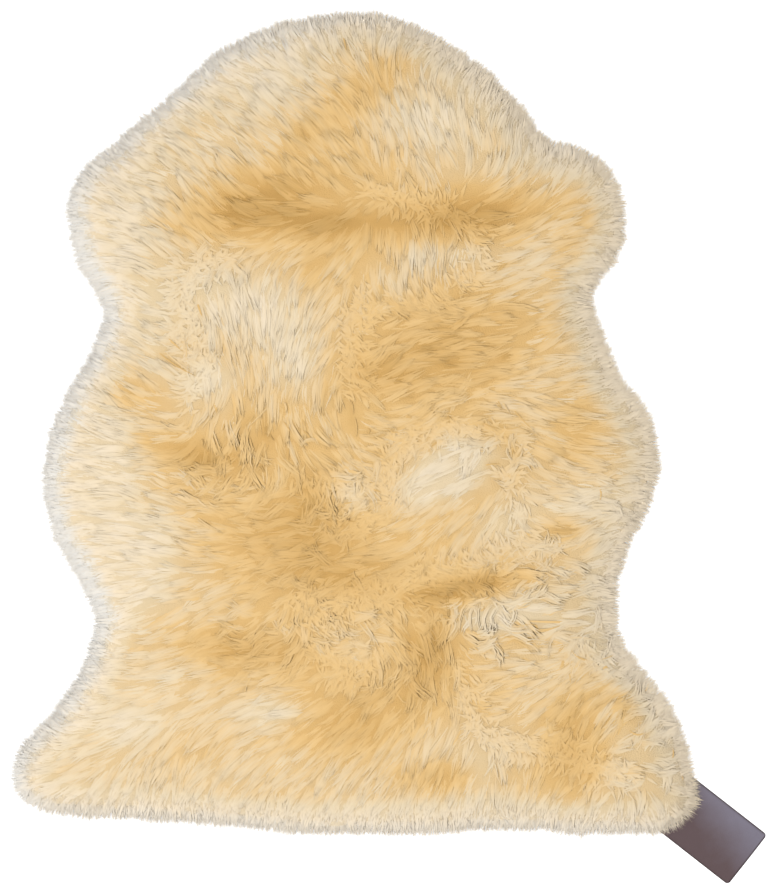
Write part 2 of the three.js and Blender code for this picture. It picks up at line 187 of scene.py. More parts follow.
# Where the wool opens between locks: the heading, length and width of each gap, and how deep it is. In millimetres.
# Each gap is also painted more golden, as painted shade.
GAPS = {
    # part of the pelt: [(x, y, heading, length, width, depth), ...]
    "parting of the crown": [(-47, 414, -74, 34, 10, 1), (-87, 320, -56, 38, 14, 1.4), (-59, 362, 39, 35, 16, 0.8)],
    "hollow behind the neck": [
        (-148, 286, -5, 31, 12, 1.4), (-165, 256, -20, 32, 12, 1.6), (-140, 249, -36, 26, 10, 1.4),
        (-165, 234, -32, 35, 10, 1.6), (-97, 244, -13, 37, 10, 1), (-84, 223, -17, 36, 13, 1.2),
    ],
    "right shoulder": [
        (62, 248, -58, 28, 10, 1.6), (56, 231, -34, 30, 12, 1.8), (87, 234, -24, 28, 10, 1.8),
        (109, 225, -18, 34, 10, 1.4), (45, 225, 20, 32, 10, 1), (116, 188, 29, 29, 10, 1.8),
        (75, 157, 17, 30, 10, 1),
    ],
    "right back": [
        (119, 95, 14, 25, 9, 2.4), (61, 86, -9, 29, 10, 2), (34, 103, -6, 28, 13, 1.4), (8, 66, -4, 23, 12, 1.8),
        (16, 51, 4, 35, 9, 1.2), (54, 31, -27, 20, 10, 1.4), (97, 67, 15, 40, 10, 1),
    ],
    "fold of the left flank": [
        (-196, 140, -72, 28, 9, 1.4), (-221, 87, -33, 55, 9, 2.2), (-222, 107, -37, 39, 10, 1),
        (-187, 41, -48, 33, 10, 1.2),
    ],
    "curled edge of the fan": [
        (-130, 22, -83, 35, 13, 2.4), (-148, 28, 54, 26, 10, 1.4), (-108, 42, -74, 34, 9, 1.2),
        (-92, 24, -72, 41, 9, 1.2), (-164, -11, -41, 30, 12, 1.8), (-133, -10, -82, 37, 10, 1.8),
        (-107, -7, -67, 24, 9, 1.2), (-193, -15, -51, 28, 10, 1),
    ],
    "seam of the fan": [(-40, 27, -79, 50, 10, 1.2)],
    "middle of the back": [
        (-23, 15, -39, 21, 10, 1.4), (42, 1, 27, 31, 9, 1.8), (-15, -7, -18, 32, 9, 1.4),
        (-45, -75, 6, 29, 10, 1.2), (-89, -64, -59, 32, 14, 0.8), (-42, -139, 4, 52, 10, 1),
        (-88, -135, -29, 34, 10, 0.8),
    ],
    "right flank": [
        (136, 22, -56, 45, 10, 1.4), (104, 21, -15, 36, 9, 1.2), (102, -17, 7, 25, 10, 1.6),
        (125, -3, -60, 25, 10, 1.4), (178, -83, -2, 39, 15, 1), (213, -52, -83, 42, 12, 1),
    ],
    "under the curled ridge": [
        (60, -153, 16, 45, 12, 2.4), (74, -153, -78, 23, 9, 2), (97, -138, 15, 49, 12, 1.6),
        (98, -165, 7, 25, 9, 1.2),
    ],
    "hanging locks": [(135, -181, 3, 64, 9, 1.8), (127, -195, -16, 38, 9, 1.8), (144, -133, 22, 30, 9, 1.2)],
    "whorl of the right loin": [(173, -207, -66, 28, 10, 1.8), (186, -225, -22, 30, 9, 1.2)],
    "beside the hanging locks": [
        (16, -194, -68, 46, 13, 1.4), (45, -213, -79, 40, 10, 1.8), (5, -259, -60, 25, 9, 1),
    ],
    "tail": [(-18, -293, 45, 26, 9, 1), (-48, -319, -31, 20, 10, 0.8)],
    "right hind leg": [
        (186, -271, 65, 38, 9, 2.6), (203, -337, 41, 27, 9, 2), (218, -316, 72, 21, 9, 1.8),
        (262, -250, -24, 28, 9, 1.4), (290, -315, -70, 23, 9, 1.8), (218, -283, 39, 21, 9, 1.4),
    ],
    "left loin": [(-179, -213, -5, 69, 16, 0.6), (-87, -254, 5, 54, 10, 0.8)],
}

# Where the wool is tousled into curls instead of lying smooth.
CURLS = {
    # part of the pelt: [(x, y, radius, amount), ...]
    "curled edge of the fan": [(-160, 0, 50, 0.8)],
    "curls of the middle": [(-50, -55, 40, 1.0), (-65, -170, 45, 0.7)],
    "spiral": [(110, -10, 25, 1.0)],
    "right back": [(40, 30, 50, 0.5)],
    "hanging locks": [(90, -175, 50, 1.0)],
    "right loin": [(145, -120, 45, 0.8)],
    "whorl of the right loin": [(205, -205, 30, 1.0)],
    "right flank": [(210, -65, 35, 0.8)],
    "right hind leg": [(240, -260, 40, 0.6), (260, -320, 45, 0.5)],
    "left loin": [(-130, -200, 45, 0.6)],
    "left flank": [(-185, -45, 40, 0.5)],
    "tail": [(5, -220, 60, 0.5)],
    "middle of the back": [(-85, -115, 75, 0.4)],
}

# Where the locks stand out more, or less, than elsewhere. In millimetres and degrees.
RELIEF = {
    # part of the pelt: [(x, y, heading, length, width, change), ...]
    "right back": [(61, 107, 10, 239, 114, 0.9)],
    "curled edge of the fan": [(-132, 24, 0, 177, 83, 0.8)],
    "curls of the middle": [(-43, -54, 0, 94, 83, 0.7)],
    "hanging locks": [(113, -168, 10, 177, 94, 0.9)],
    "hollow behind the neck": [(-147, 253, 15, 166, 52, 0.5)],
    "right shoulder": [(92, 232, 5, 156, 62, 0.8)],
    "left flank": [(-220, 92, -30, 94, 52, 0.6)],
    "right hind leg": [(217, -283, 60, 156, 94, 0.8)],
    "tail end": [(-64, -372, -2, 700, 90, -0.8)],
    "left shoulder": [(-293, 227, 80, 187, 94, -0.3)],
    "left loin": [(-251, -262, 10, 187, 104, -0.4)],
    "middle of the back": [(-106, -116, 0, 156, 94, -0.4)],
    "right flank": [(134, -54, 0, 135, 73, -0.3)],
}

# Where the locks turn round a middle.
WHORLS = {
    # part of the pelt: [(x, y, radius, side the tips turn to), ...]
    "spiral of the right back": [(110, -10, 26, 90)],
    "whorl of the right loin": [(203, -205, 32, -90)],
    "curls of the middle": [(-48, -55, 30, 80)],
}

# Single locks that lie on top of the rest: pale curls, and darker gold strands laid where the wool opens, as painted
# shade of the openings. In millimetres.
LOOSE_LOCKS = {
    # part of the pelt: [(x, y at the root, x, y halfway, x, y at the tip, width, tone), ...]
    "hanging locks": [
        (82, -160, 73, -166, 69, -191, 5, 0.18), (86, -162, 80, -170, 82, -191, 4, 0.2),
        (63, -156, 62, -177, 65, -189, 3, 0.22), (50, -170, 55, -184, 50, -204, 4, 0.2),
        (90, -158, 88, -174, 92, -189, 3, 0.25), (102, -160, 94, -174, 96, -191, 4, 0.25),
        (115, -158, 102, -173, 109, -189, 5, 0.25), (125, -163, 125, -175, 113, -189, 5, 0.22),
        (107, -154, 88, -156, 73, -170, 3.5, 0.25), (132, -156, 113, -160, 98, -150, 3, 0.3),
        (142, -133, 130, -141, 125, -154, 5, 0.22), (113, -116, 105, -118, 107, -129, 4, 0.2),
        (75, -146, 74, -156, 72, -166, 2.5, 0.97), (105, -150, 98, -154, 92, -156, 2, 0.95),
        (55, -152, 57, -158, 58, -175, 5, 0.9), (96, -163, 93, -166, 91, -167, 3, 0.95),
        (140, -143, 134, -146, 133, -150, 2.5, 0.95), (128, -176, 131, -181, 127, -187, 2.5, 0.95),
        (182, -179, 154, -178, 134, -177, 2, 0.85), (175, -183, 154, -187, 139, -183, 3, 0.85),
        (144, -194, 136, -196, 133, -201, 2.5, 0.95), (113, -191, 121, -193, 127, -191, 3, 0.9),
        (47, -200, 46, -206, 47, -210, 2.5, 0.97), (47, -222, 46, -226, 47, -229, 2, 0.95),
        (50, -174, 57, -173, 60, -177, 2, 0.95),
    ],
    "whorl of the right loin": [
        (191, -191, 167, -193, 162, -216, 5, 0.2), (217, -201, 192, -194, 175, -199, 3, 0.25),
        (217, -220, 198, -231, 190, -241, 4, 0.22), (177, -201, 173, -206, 170, -208, 3, 0.97),
        (176, -215, 175, -222, 172, -225, 4, 0.9), (203, -218, 192, -215, 182, -206, 2, 0.85),
        (184, -231, 184, -237, 184, -241, 3, 0.85), (230, -214, 222, -216, 214, -218, 1.6, 0.88),
        (223, -226, 220, -225, 217, -227, 3, 0.9),
    ],
    "curls of the middle": [
        (-62, -34, -60, -44, -56, -54, 3.5, 0.2), (-49, -37, -43, -40, -31, -39, 4, 0.2),
        (-69, -54, -64, -64, -56, -79, 3.5, 0.22), (-56, -54, -60, -66, -56, -75, 2.5, 0.3),
        (-41, -54, -41, -64, -47, -73, 3, 0.2), (-31, -56, -35, -66, -43, -73, 3.5, 0.22),
        (-56, -87, -49, -85, -43, -79, 2.5, 0.25), (-33, 13, -20, 13, -7, 17, 3, 0.25),
        (-68, -14, -60, -17, -55, -21, 1.8, 0.95), (-64, 4, -60, 2, -56, 0, 2.5, 0.9),
        (-20, -42, -14, -44, -10, -46, 1.6, 0.95), (-49, -57, -44, -56, -40, -55, 2, 0.9),
        (-47, -74, -41, -75, -35, -75, 2, 0.97), (-72, -83, -60, -89, -51, -87, 1.8, 0.92),
        (-24, 21, -23, 17, -25, 13, 1.8, 0.95), (-2, 16, 3, 16, 7, 16, 2.5, 0.9), (-29, -2, -16, -6, -8, -9, 2, 0.9),
    ],
    "curled edge of the fan": [
        (-201, -50, -195, -56, -187, -62, 3.5, 0.2), (-189, -54, -182, -59, -176, -59, 3, 0.25),
        (-135, -39, -152, -42, -166, -37, 5, 0.25), (-199, -73, -187, -81, -174, -87, 4, 0.28),
        (-126, 42, -135, 33, -147, 21, 2, 0.25), (-110, 48, -108, 42, -108, 35, 2.5, 0.25),
        (-76, 8, -87, 8, -95, 0, 4, 0.25), (-130, 25, -129, 19, -130, 13, 3.5, 1),
        (-126, 15, -124, 10, -120, 8, 3, 0.95), (-182, 47, -180, 40, -179, 35, 3, 0.92),
        (-195, 10, -194, 6, -194, 2, 2.5, 0.92), (-172, 25, -173, 21, -174, 17, 1.6, 0.92),
        (-141, 35, -145, 29, -151, 23, 1.6, 0.9), (-169, -7, -167, -12, -165, -17, 2.5, 0.95),
        (-158, -6, -156, -12, -154, -17, 3, 0.95), (-135, -2, -134, -7, -134, -10, 2.5, 0.97),
        (-135, -17, -133, -21, -130, -25, 3, 0.95), (-106, 2, -106, -6, -106, -12, 2, 0.95),
        (-93, 31, -90, 27, -89, 23, 1.8, 0.92), (-95, 21, -87, 15, -81, 8, 1.8, 0.92),
        (-112, 29, -106, 21, -101, 13, 1.6, 0.9), (-42, 50, -40, 42, -39, 35, 2.5, 0.9),
        (-39, 33, -36, 23, -36, 10, 1.8, 0.85), (-194, -48, -187, -47, -178, -50, 2, 0.8),
    ],
    "right back": [
        (48, 6, 44, 4, 40, 1, 2.2, 1), (57, 34, 59, 31, 59, 28, 1.8, 0.97), (42, 38, 44, 35, 46, 33, 1.8, 0.95),
        (5, 50, 13, 52, 23, 52, 2.2, 0.92), (14, 33, 18, 32, 22, 31, 3, 0.95), (107, 48, 110, 44, 112, 40, 4, 0.9),
        (92, 27, 100, 23, 113, 19, 1.8, 0.9), (113, 19, 125, 20, 134, 23, 2, 0.88),
        (124, 40, 134, 29, 146, 17, 2.2, 0.9), (160, 25, 171, 25, 182, 23, 1.6, 0.9),
        (125, 0, 124, -4, 123, -8, 2.5, 0.97), (96, -17, 102, -16, 111, -16, 3.5, 0.97),
        (90, 6, 66, -4, 42, -14, 4, 0.16), (82, -10, 61, -23, 35, -33, 4, 0.18), (102, -23, 76, -33, 50, -46, 4, 0.2),
        (119, 2, 119, -7, 125, -14, 2.5, 0.2), (134, 0, 132, -8, 127, -12, 2, 0.25),
        (113, 48, 117, 42, 121, 35, 3, 0.35), (113, 92, 118, 95, 125, 96, 2.6, 1),
        (53, 86, 59, 85, 69, 84, 2.6, 0.97), (28, 102, 35, 103, 42, 102, 3, 0.92), (1, 66, 7, 67, 13, 67, 3, 0.95),
        (163, -83, 177, -85, 190, -83, 5, 0.8), (213, -37, 215, -46, 214, -58, 2, 0.88),
    ],
    "right hind leg": [
        (192, -261, 190, -268, 187, -278, 2, 1), (184, -273, 182, -279, 182, -285, 2, 0.97),
        (199, -256, 194, -259, 191, -262, 1.6, 0.85), (206, -337, 200, -342, 195, -346, 2.2, 0.97),
        (219, -312, 219, -317, 217, -321, 4, 0.95), (220, -269, 221, -272, 219, -276, 3, 0.92),
        (291, -310, 291, -316, 289, -321, 2.5, 0.95), (300, -338, 301, -341, 300, -343, 2, 0.95),
        (262, -252, 264, -248, 266, -245, 2, 0.9), (244, -290, 252, -294, 261, -292, 2.2, 0.9),
        (234, -264, 223, -274, 216, -287, 3, 0.15), (246, -298, 246, -302, 247, -305, 2.5, 0.2),
        (258, -262, 248, -266, 240, -274, 3, 0.22),
    ],
    "left flank": [
        (-239, 98, -222, 85, -201, 74, 1.8, 0.95), (-232, 100, -218, 87, -203, 77, 2, 0.25),
        (-232, 114, -224, 108, -214, 99, 1.8, 0.85), (-199, 148, -197, 142, -194, 135, 1.8, 0.97),
    ],
    "neck": [
        (-168, 258, -160, 255, -153, 253, 2.5, 0.95), (-144, 252, -140, 249, -137, 246, 2, 0.95),
        (-174, 239, -168, 234, -160, 229, 2.2, 0.92), (58, 252, 61, 248, 64, 243, 2.2, 0.97),
        (52, 234, 56, 231, 61, 227, 2.4, 0.97), (80, 235, 86, 233, 94, 231, 2.2, 0.95),
        (98, 229, 107, 227, 113, 225, 2, 0.92), (107, 182, 113, 185, 119, 191, 2.4, 0.95),
        (67, 155, 73, 157, 80, 159, 2, 0.9), (-95, 330, -91, 322, -87, 314, 2, 0.9),
        (-50, 422, -48, 414, -47, 408, 2, 0.9), (-111, 246, -95, 244, -83, 243, 2, 0.85),
        (-90, 224, -83, 222, -74, 220, 2.5, 0.88),
    ],
}

# The pile is one piece per part of the pelt, from the neck down.
PILE_PARTS = ["neck", "shoulders", "back", "loin", "tail"]
MOST_TRIANGLES = 200000  # in one piece


def rows_of(table):
    """All the rows of a table, whatever their part of the pelt."""
    return [row for rows in table.values() for row in rows]


# ---- Sizes and colours ----


class WoolSettings(bpy.types.PropertyGroup):
    """Sizes and colours of the wool"""

    tuft_spacing: bpy.props.FloatProperty(
        name="Tuft Spacing", description="Distance between the roots of two tufts", default=4.3 * MM, unit="LENGTH"
    )
    tuft_width: bpy.props.FloatProperty(
        name="Tuft Width", description="Width of a tuft at its middle", default=3.6 * MM, unit="LENGTH"
    )
    hair_spacing: bpy.props.FloatProperty(
        name="Hair Spacing", description="Distance between the roots of two loose hairs",
        default=4.3 * MM, unit="LENGTH",
    )
    hair_width: bpy.props.FloatProperty(
        name="Hair Width", description="Width of a loose hair at its middle", default=1.5 * MM, unit="LENGTH"
    )
    lock_spacing: bpy.props.FloatProperty(
        name="Lock Spacing", description="Distance between the middles of two locks", default=11 * MM, unit="LENGTH"
    )
    length: bpy.props.FloatProperty(
        name="Length", description="Length of a tuft over the skin", default=40 * MM, unit="LENGTH"
    )
    depth: bpy.props.FloatProperty(
        name="Root Depth", description="How far the roots lie under the wool's surface",
        default=3 * MM, unit="LENGTH",
    )
    fringe: bpy.props.FloatProperty(
        name="Fringe", description="How far the tips reach past the solid rim", default=14.5 * MM, unit="LENGTH"
    )
    seed: bpy.props.IntProperty(name="Seed", description="Another number gives other locks", default=7)
    # Painted shade: the rim colour is greyer than the wool inside, for the shade where the wool curves down to the
    # floor.
    rim: bpy.props.FloatVectorProperty(
        name="Rim", description="Colour of the tips at the rim",
        subtype="COLOR", size=3, default=(0.775, 0.755, 0.715),
    )
    pale: bpy.props.FloatVectorProperty(
        name="Pale", description="Colour of the palest tips inside the rim",
        subtype="COLOR", size=3, default=(0.835, 0.715, 0.545),
    )
    cream: bpy.props.FloatVectorProperty(
        name="Cream", description="Colour of the cream tips", subtype="COLOR", size=3, default=(0.78, 0.645, 0.445)
    )
    honey: bpy.props.FloatVectorProperty(
        name="Honey", description="Colour of the tips in between",
        subtype="COLOR", size=3, default=(0.77, 0.525, 0.24),
    )
    gold: bpy.props.FloatVectorProperty(
        name="Gold", description="Colour of the most golden tips",
        subtype="COLOR", size=3, default=(0.68, 0.43, 0.165),
    )
    # Partly painted shade: the deepest stop is the wool's darkest gold, and also the painted shade deep between the
    # locks and on the dark strands laid over openings.
    shaded_amber: bpy.props.FloatVectorProperty(
        name="Amber", description="Colour of the wool deep between the locks",
        subtype="COLOR", size=3, default=(0.58, 0.355, 0.125),
    )
    # Partly painted shade: towards the roots the colour is darkened and turned more golden, for the shade deep in the
    # wool as well as its own deeper colour. The undercoat is tinted with it too.
    root_shade_tint: bpy.props.FloatVectorProperty(
        name="Root Tint", description="What the colour is multiplied by towards the roots",
        subtype="COLOR", size=3, default=(0.96, 0.915, 0.82),
    )


class HideSettings(bpy.types.PropertyGroup):
    """Colours of the suede side"""

    colour: bpy.props.FloatVectorProperty(
        name="Suede", description="Colour of the tanned skin", subtype="COLOR", size=3, default=(0.68, 0.53, 0.36)
    )
    stain: bpy.props.FloatVectorProperty(
        name="Mottle", description="Colour of its darker mottling",
        subtype="COLOR", size=3, default=(0.52, 0.38, 0.24),
    )


class LabelSettings(bpy.types.PropertyGroup):
    """Sizes and colours of the leather label"""

    length: bpy.props.FloatProperty(
        name="Length", description="Whole length, with the sewn end", default=140 * MM, unit="LENGTH"
    )
    width: bpy.props.FloatProperty(name="Width", description="Across the label", default=66 * MM, unit="LENGTH")
    corner: bpy.props.FloatProperty(
        name="Corner", description="Radius of its corners", default=4 * MM, unit="LENGTH"
    )
    heading: bpy.props.FloatProperty(
        name="Heading", description="Way it points from under the wool", default=math.radians(-38), unit="ROTATION"
    )
    wave: bpy.props.FloatProperty(
        name="Wave", description="How far its free end lifts off the floor", default=1.2 * MM, unit="LENGTH"
    )
    colour: bpy.props.FloatVectorProperty(
        name="Leather", description="Colour of the leather", subtype="COLOR", size=3, default=(0.1, 0.063, 0.067)
    )
    # Painted reflection: one half of the label is painted paler and violet-grey, as the lamp's sheen on the leather.
    painted_sheen: bpy.props.FloatVectorProperty(
        name="Bloom", description="Colour of its paler half", subtype="COLOR", size=3, default=(0.19, 0.172, 0.22)
    )
    edge: bpy.props.FloatVectorProperty(
        name="Edge", description="Colour of its worn, darkened edge",
        subtype="COLOR", size=3, default=(0.045, 0.026, 0.026),
    )


class StageSettings(bpy.types.PropertyGroup):
    """The floor, the light and the view"""

    camera_height: bpy.props.FloatProperty(
        name="Camera Height", description="Height of the camera over the floor", default=3.2, unit="LENGTH"
    )
    view_long: bpy.props.FloatProperty(
        name="View", description="Length of floor that the long side of the picture shows",
        default=0.9256, unit="LENGTH",
    )
    view_x: bpy.props.FloatProperty(
        name="View X", description="Middle of the picture, across", default=-7.8 * MM, unit="LENGTH"
    )
    view_y: bpy.props.FloatProperty(
        name="View Y", description="Middle of the picture, along", default=3.2 * MM, unit="LENGTH"
    )
    floor: bpy.props.FloatVectorProperty(
        name="Floor", description="Colour of the floor", subtype="COLOR", size=3, default=(0.93, 0.93, 0.93)
    )
    floor_glow: bpy.props.FloatProperty(
        name="Floor Glow", description="Strength of the floor's own light, which keeps it evenly white", default=0.55
    )
    sky: bpy.props.FloatProperty(name="Sky", description="Strength of the light from all round", default=0.38)
    lamp_power: bpy.props.FloatProperty(
        name="Lamp Power", description="Strength of the lamp overhead", default=107, unit="POWER"
    )
    lamp_size: bpy.props.FloatProperty(
        name="Lamp Size", description="Width of the lamp overhead", default=0.5, unit="LENGTH"
    )


# ---- The lie of the wool ----


def eased(value, start, end):
    """0 before start and 1 after end, and smooth between them."""
    share = np.clip((value - start) / (end - start), 0, 1)
    return share * share * (3 - 2 * share)


def blurred(field, cells):
    """A grid after a Gaussian blur of so many cells."""
    reach = max(1, math.ceil(3 * cells))
    weights = np.exp(-0.5 * (np.arange(-reach, reach + 1) / cells) ** 2)
    weights /= weights.sum()
    for axis in (0, 1):
        wide = np.pad(field, [(reach, reach) if a == axis else (0, 0) for a in (0, 1)], mode="edge")
        size = field.shape[axis]
        field = sum(w * np.take(wide, range(i, i + size), axis) for i, w in enumerate(weights))
    return field


def turned(vectors, angles):
    """Flat vectors turned by angles, in radians."""
    c, s = np.cos(angles), np.sin(angles)
    x, y = vectors[..., 0], vectors[..., 1]
    return np.stack([c * x - s * y, s * x + c * y], -1)


def unit(vectors):
    """The vectors, each with length 1."""
    return vectors / np.maximum(np.linalg.norm(vectors, axis=-1, keepdims=True), 1e-9)


class Pelt:
    """Grids over the whole pelt: the wool's height, the distance inside its rim, its comb, tone, relief and curl."""

    CELL = 4 * MM
    MARGIN = 45 * MM
    RIM_HEIGHT = 9.8 * MM
    SKIRT = 24 * MM  # how far outside the rim the wool's surface would come down to the floor
    # Gaps are cut into the wool's height, and their tone is painted more golden, as painted shade of the opening.
    GAP_DEPTH = 0.8 * MM  # how deep a gap of depth 1 is
    GAP_SHADE_TONE = 0.1  # and how much more golden
    COMB_REACH = 21  # how far a row of COMB reaches, in millimetres
    EYE = 4.5 * MM  # the open middle of a whorl
    RIM_TONE, RIM_TONE_RIGHT = 0.11, 0.08  # at the rim, and what its right side has more
    MIDDLE_TONE, DEEP_TONE = 0.455, 0.15  # well inside the rim, and what the middle of the pelt has more
    PALEST = 0.26  # inside the rim

    def __init__(self, node):
        low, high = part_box(node)
        self.low = np.array([low.x, low.y]) - self.MARGIN
        count = np.ceil((np.array([high.x, high.y]) + self.MARGIN - self.low) / self.CELL).astype(int) + 1
        self.spots = self.low + self.CELL * np.stack(np.meshgrid(*(np.arange(n) for n in count), indexing="ij"), -1)
        height = self.heights(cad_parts[node])
        inside = blurred((height > self.RIM_HEIGHT).astype(float), 1.8) > 0.5
        self.inset = self.distances(inside)
        skirt = np.clip(self.RIM_HEIGHT * (1 + self.inset / self.SKIRT), 4 * MM, self.RIM_HEIGHT)
        self.height = blurred(np.where(inside, np.maximum(height, self.RIM_HEIGHT), skirt), 1.0)
        gaps = self.spread(rows_of(GAPS))
        self.height -= self.GAP_DEPTH * gaps
        self.outward = -unit(np.stack(np.gradient(blurred(self.inset, 3)), -1))
        slope = np.stack(np.gradient(blurred(self.height, 1.5), self.CELL), -1)
        self.normal = unit(np.concatenate([-slope, np.ones((*count, 1))], -1))
        self.comb, self.calm = self.combed()
        self.tone = np.clip(self.toned() + self.GAP_SHADE_TONE * gaps, 0, 1)
        self.relief = np.clip(0.9 + self.spread(rows_of(RELIEF)), 0.3, 2)
        self.relief *= 0.5 + 0.5 * eased(self.inset, 0, 45 * MM)
        self.curl = self.spread([(x, y, 0, 2 * r, 2 * r, much) for x, y, r, much in rows_of(CURLS)])

    def heights(self, o):
        """How high the top of an object is over each spot, and 0 beside it."""
        mesh = o.data
        tree = BVHTree.FromPolygons([v.co for v in mesh.vertices], [p.vertices for p in mesh.polygons])
        down = Vector((0, 0, -1))
        hits = [tree.ray_cast(Vector((x, y, 1)), down)[0] for x, y in self.spots.reshape(-1, 2)]
        return np.array([0 if hit is None else hit.z for hit in hits]).reshape(self.spots.shape[:2])

    def distances(self, inside):
        """Distance inside the rim, and less than 0 outside it."""
        near = inside & (blurred(inside.astype(float), 0.5) < 0.999)
        edge = self.spots[near]
        rows = [np.linalg.norm(row[:, None] - edge[None], axis=-1).min(1) for row in self.spots]
        return blurred(np.where(inside, 1, -1) * np.array(rows) + self.CELL / 2, 1)

    def spread(self, ellipses):
        """The sum of soft ellipses, each (x, y, heading, length, width, amount)."""
        total = np.zeros(self.spots.shape[:2])
        for x, y, heading, length, width, amount in ellipses:
            at = turned(self.spots / MM - (x, y), -math.radians(heading))
            total += amount * np.exp(-2 * (2 * at[..., 0] / length) ** 2 - 2 * (2 * at[..., 1] / width) ** 2)
        return total

    def combed(self):
        """The comb as unit vectors, and how well it agrees with itself, from 0 on a parting to 1."""
        rows = np.array(rows_of(COMB), float)
        ways = np.stack([np.cos(np.radians(rows[:, 2])), np.sin(np.radians(rows[:, 2]))], -1)
        total, weight = np.zeros(self.spots.shape), np.full(self.spots.shape[:2], 1e-6)
        for (x, y, _), way in zip(rows, ways):
            w = np.exp(-0.5 * ((self.spots / MM - (x, y)) ** 2).sum(-1) / self.COMB_REACH**2)
            total += w[..., None] * way
            weight += w
        for x, y, radius, side in rows_of(WHORLS):
            away = self.spots / MM - (x, y)
            w = 2.5 * np.exp(-0.5 * (away**2).sum(-1) / (radius / 2) ** 2)
            total += w[..., None] * turned(unit(away), math.radians(side))
            weight += w
        at_rim = 0.03 + 1.4 * eased(self.inset, 24 * MM, 2 * MM)
        total += at_rim[..., None] * self.outward
        weight += at_rim
        return unit(total), np.linalg.norm(total, axis=-1) / weight

    def toned(self):
        """Palest at the rim, and up to 1 where the wool is golden."""
        rim = self.RIM_TONE + self.RIM_TONE_RIGHT * self.outward[..., 0]
        inner = rim + (self.MIDDLE_TONE - rim) * eased(self.inset, -2 * MM, 36 * MM)
        inner += self.DEEP_TONE * eased(self.inset, 50 * MM, 170 * MM)
        patches = 1.3 * self.spread(rows_of(TONES)) * eased(self.inset, -6 * MM, 18 * MM)
        return np.clip(inner + patches, self.PALEST * eased(self.inset, 0, 30 * MM), 1)

    def at(self, field, places):
        """A grid's value at places, (..., 2), between its points."""
        q = (places - self.low) / self.CELL
        last = np.array(field.shape[:2]) - 1.001
        q = np.clip(q, 0, last)
        i = q.astype(int)
        f = q - i
        if field.ndim > 2:
            f = f[..., None, :]
        i, j = i[..., 0], i[..., 1]
        a = field[i, j] * (1 - f[..., 0]) + field[i + 1, j] * f[..., 0]
        b = field[i, j + 1] * (1 - f[..., 0]) + field[i + 1, j + 1] * f[..., 0]
        return a * (1 - f[..., 1]) + b * f[..., 1]

    def scattered(self, spacing, rng, inset):
        """Places at about that spacing, wherever the pelt is at least that far inside its rim."""
        span = np.array(self.spots.shape[:2]) * self.CELL
        count = (span / spacing).astype(int)
        cells = np.stack(np.meshgrid(*(np.arange(n) for n in count), indexing="ij"), -1).reshape(-1, 2)
        places = self.low + spacing * (cells + 0.5 + rng.uniform(-0.5, 0.5, cells.shape))
        return places[self.at(self.inset, places) > inset]

    def followed(self, start, length, bend, curve, hold=0.55, steps=12):
        """Lines of that length along the comb. Each is bent off it by bend, and by curve more at its end."""
        way = turned(self.at(self.comb, start), bend)
        line = [start]
        for k in range(steps):
            pull = turned(unit(self.at(self.comb, line[-1])), bend)
            way = unit(hold * way + (1 - hold) * pull)
            line.append(line[-1] + turned(way, curve * ((k + 0.5) / steps)) * (length / steps)[:, None])
        return np.stack(line, 1)


def along(lines, share):
    """The place on each line at each share of it. lines is (n, points, 2), share (n, rings)."""
    last = lines.shape[1] - 1
    q = np.clip(share * last, 0, last - 1e-6)
    i = q.astype(int)
    f = (q - i)[..., None]
    n = np.arange(len(lines))[:, None]
    return lines[n, i] * (1 - f) + lines[n, i + 1] * f


# ---- Strands ----

OWN_SHADE = 0.06  # how much a strand is shaded as itself, across it
RIDGE = (0.22, -0.08, -0.08)  # heights of a strand's ridge and feet, for a half width of 1


def group_of(place, height, radii, tones, shares, along_pelt):
    """A group of strands: their paths, what sets their width and colour, and how far up the pelt they grow."""
    paths = np.concatenate([place, height[..., None]], -1)
    return {"paths": paths, "radii": radii, "tones": tones, "shares": shares, "along_pelt": along_pelt}


def shares_of(n, rings):
    """The share of its length at which each ring of each strand lies, and the tip."""
    return np.linspace(0, 1, rings + 1) * np.ones((n, 1))


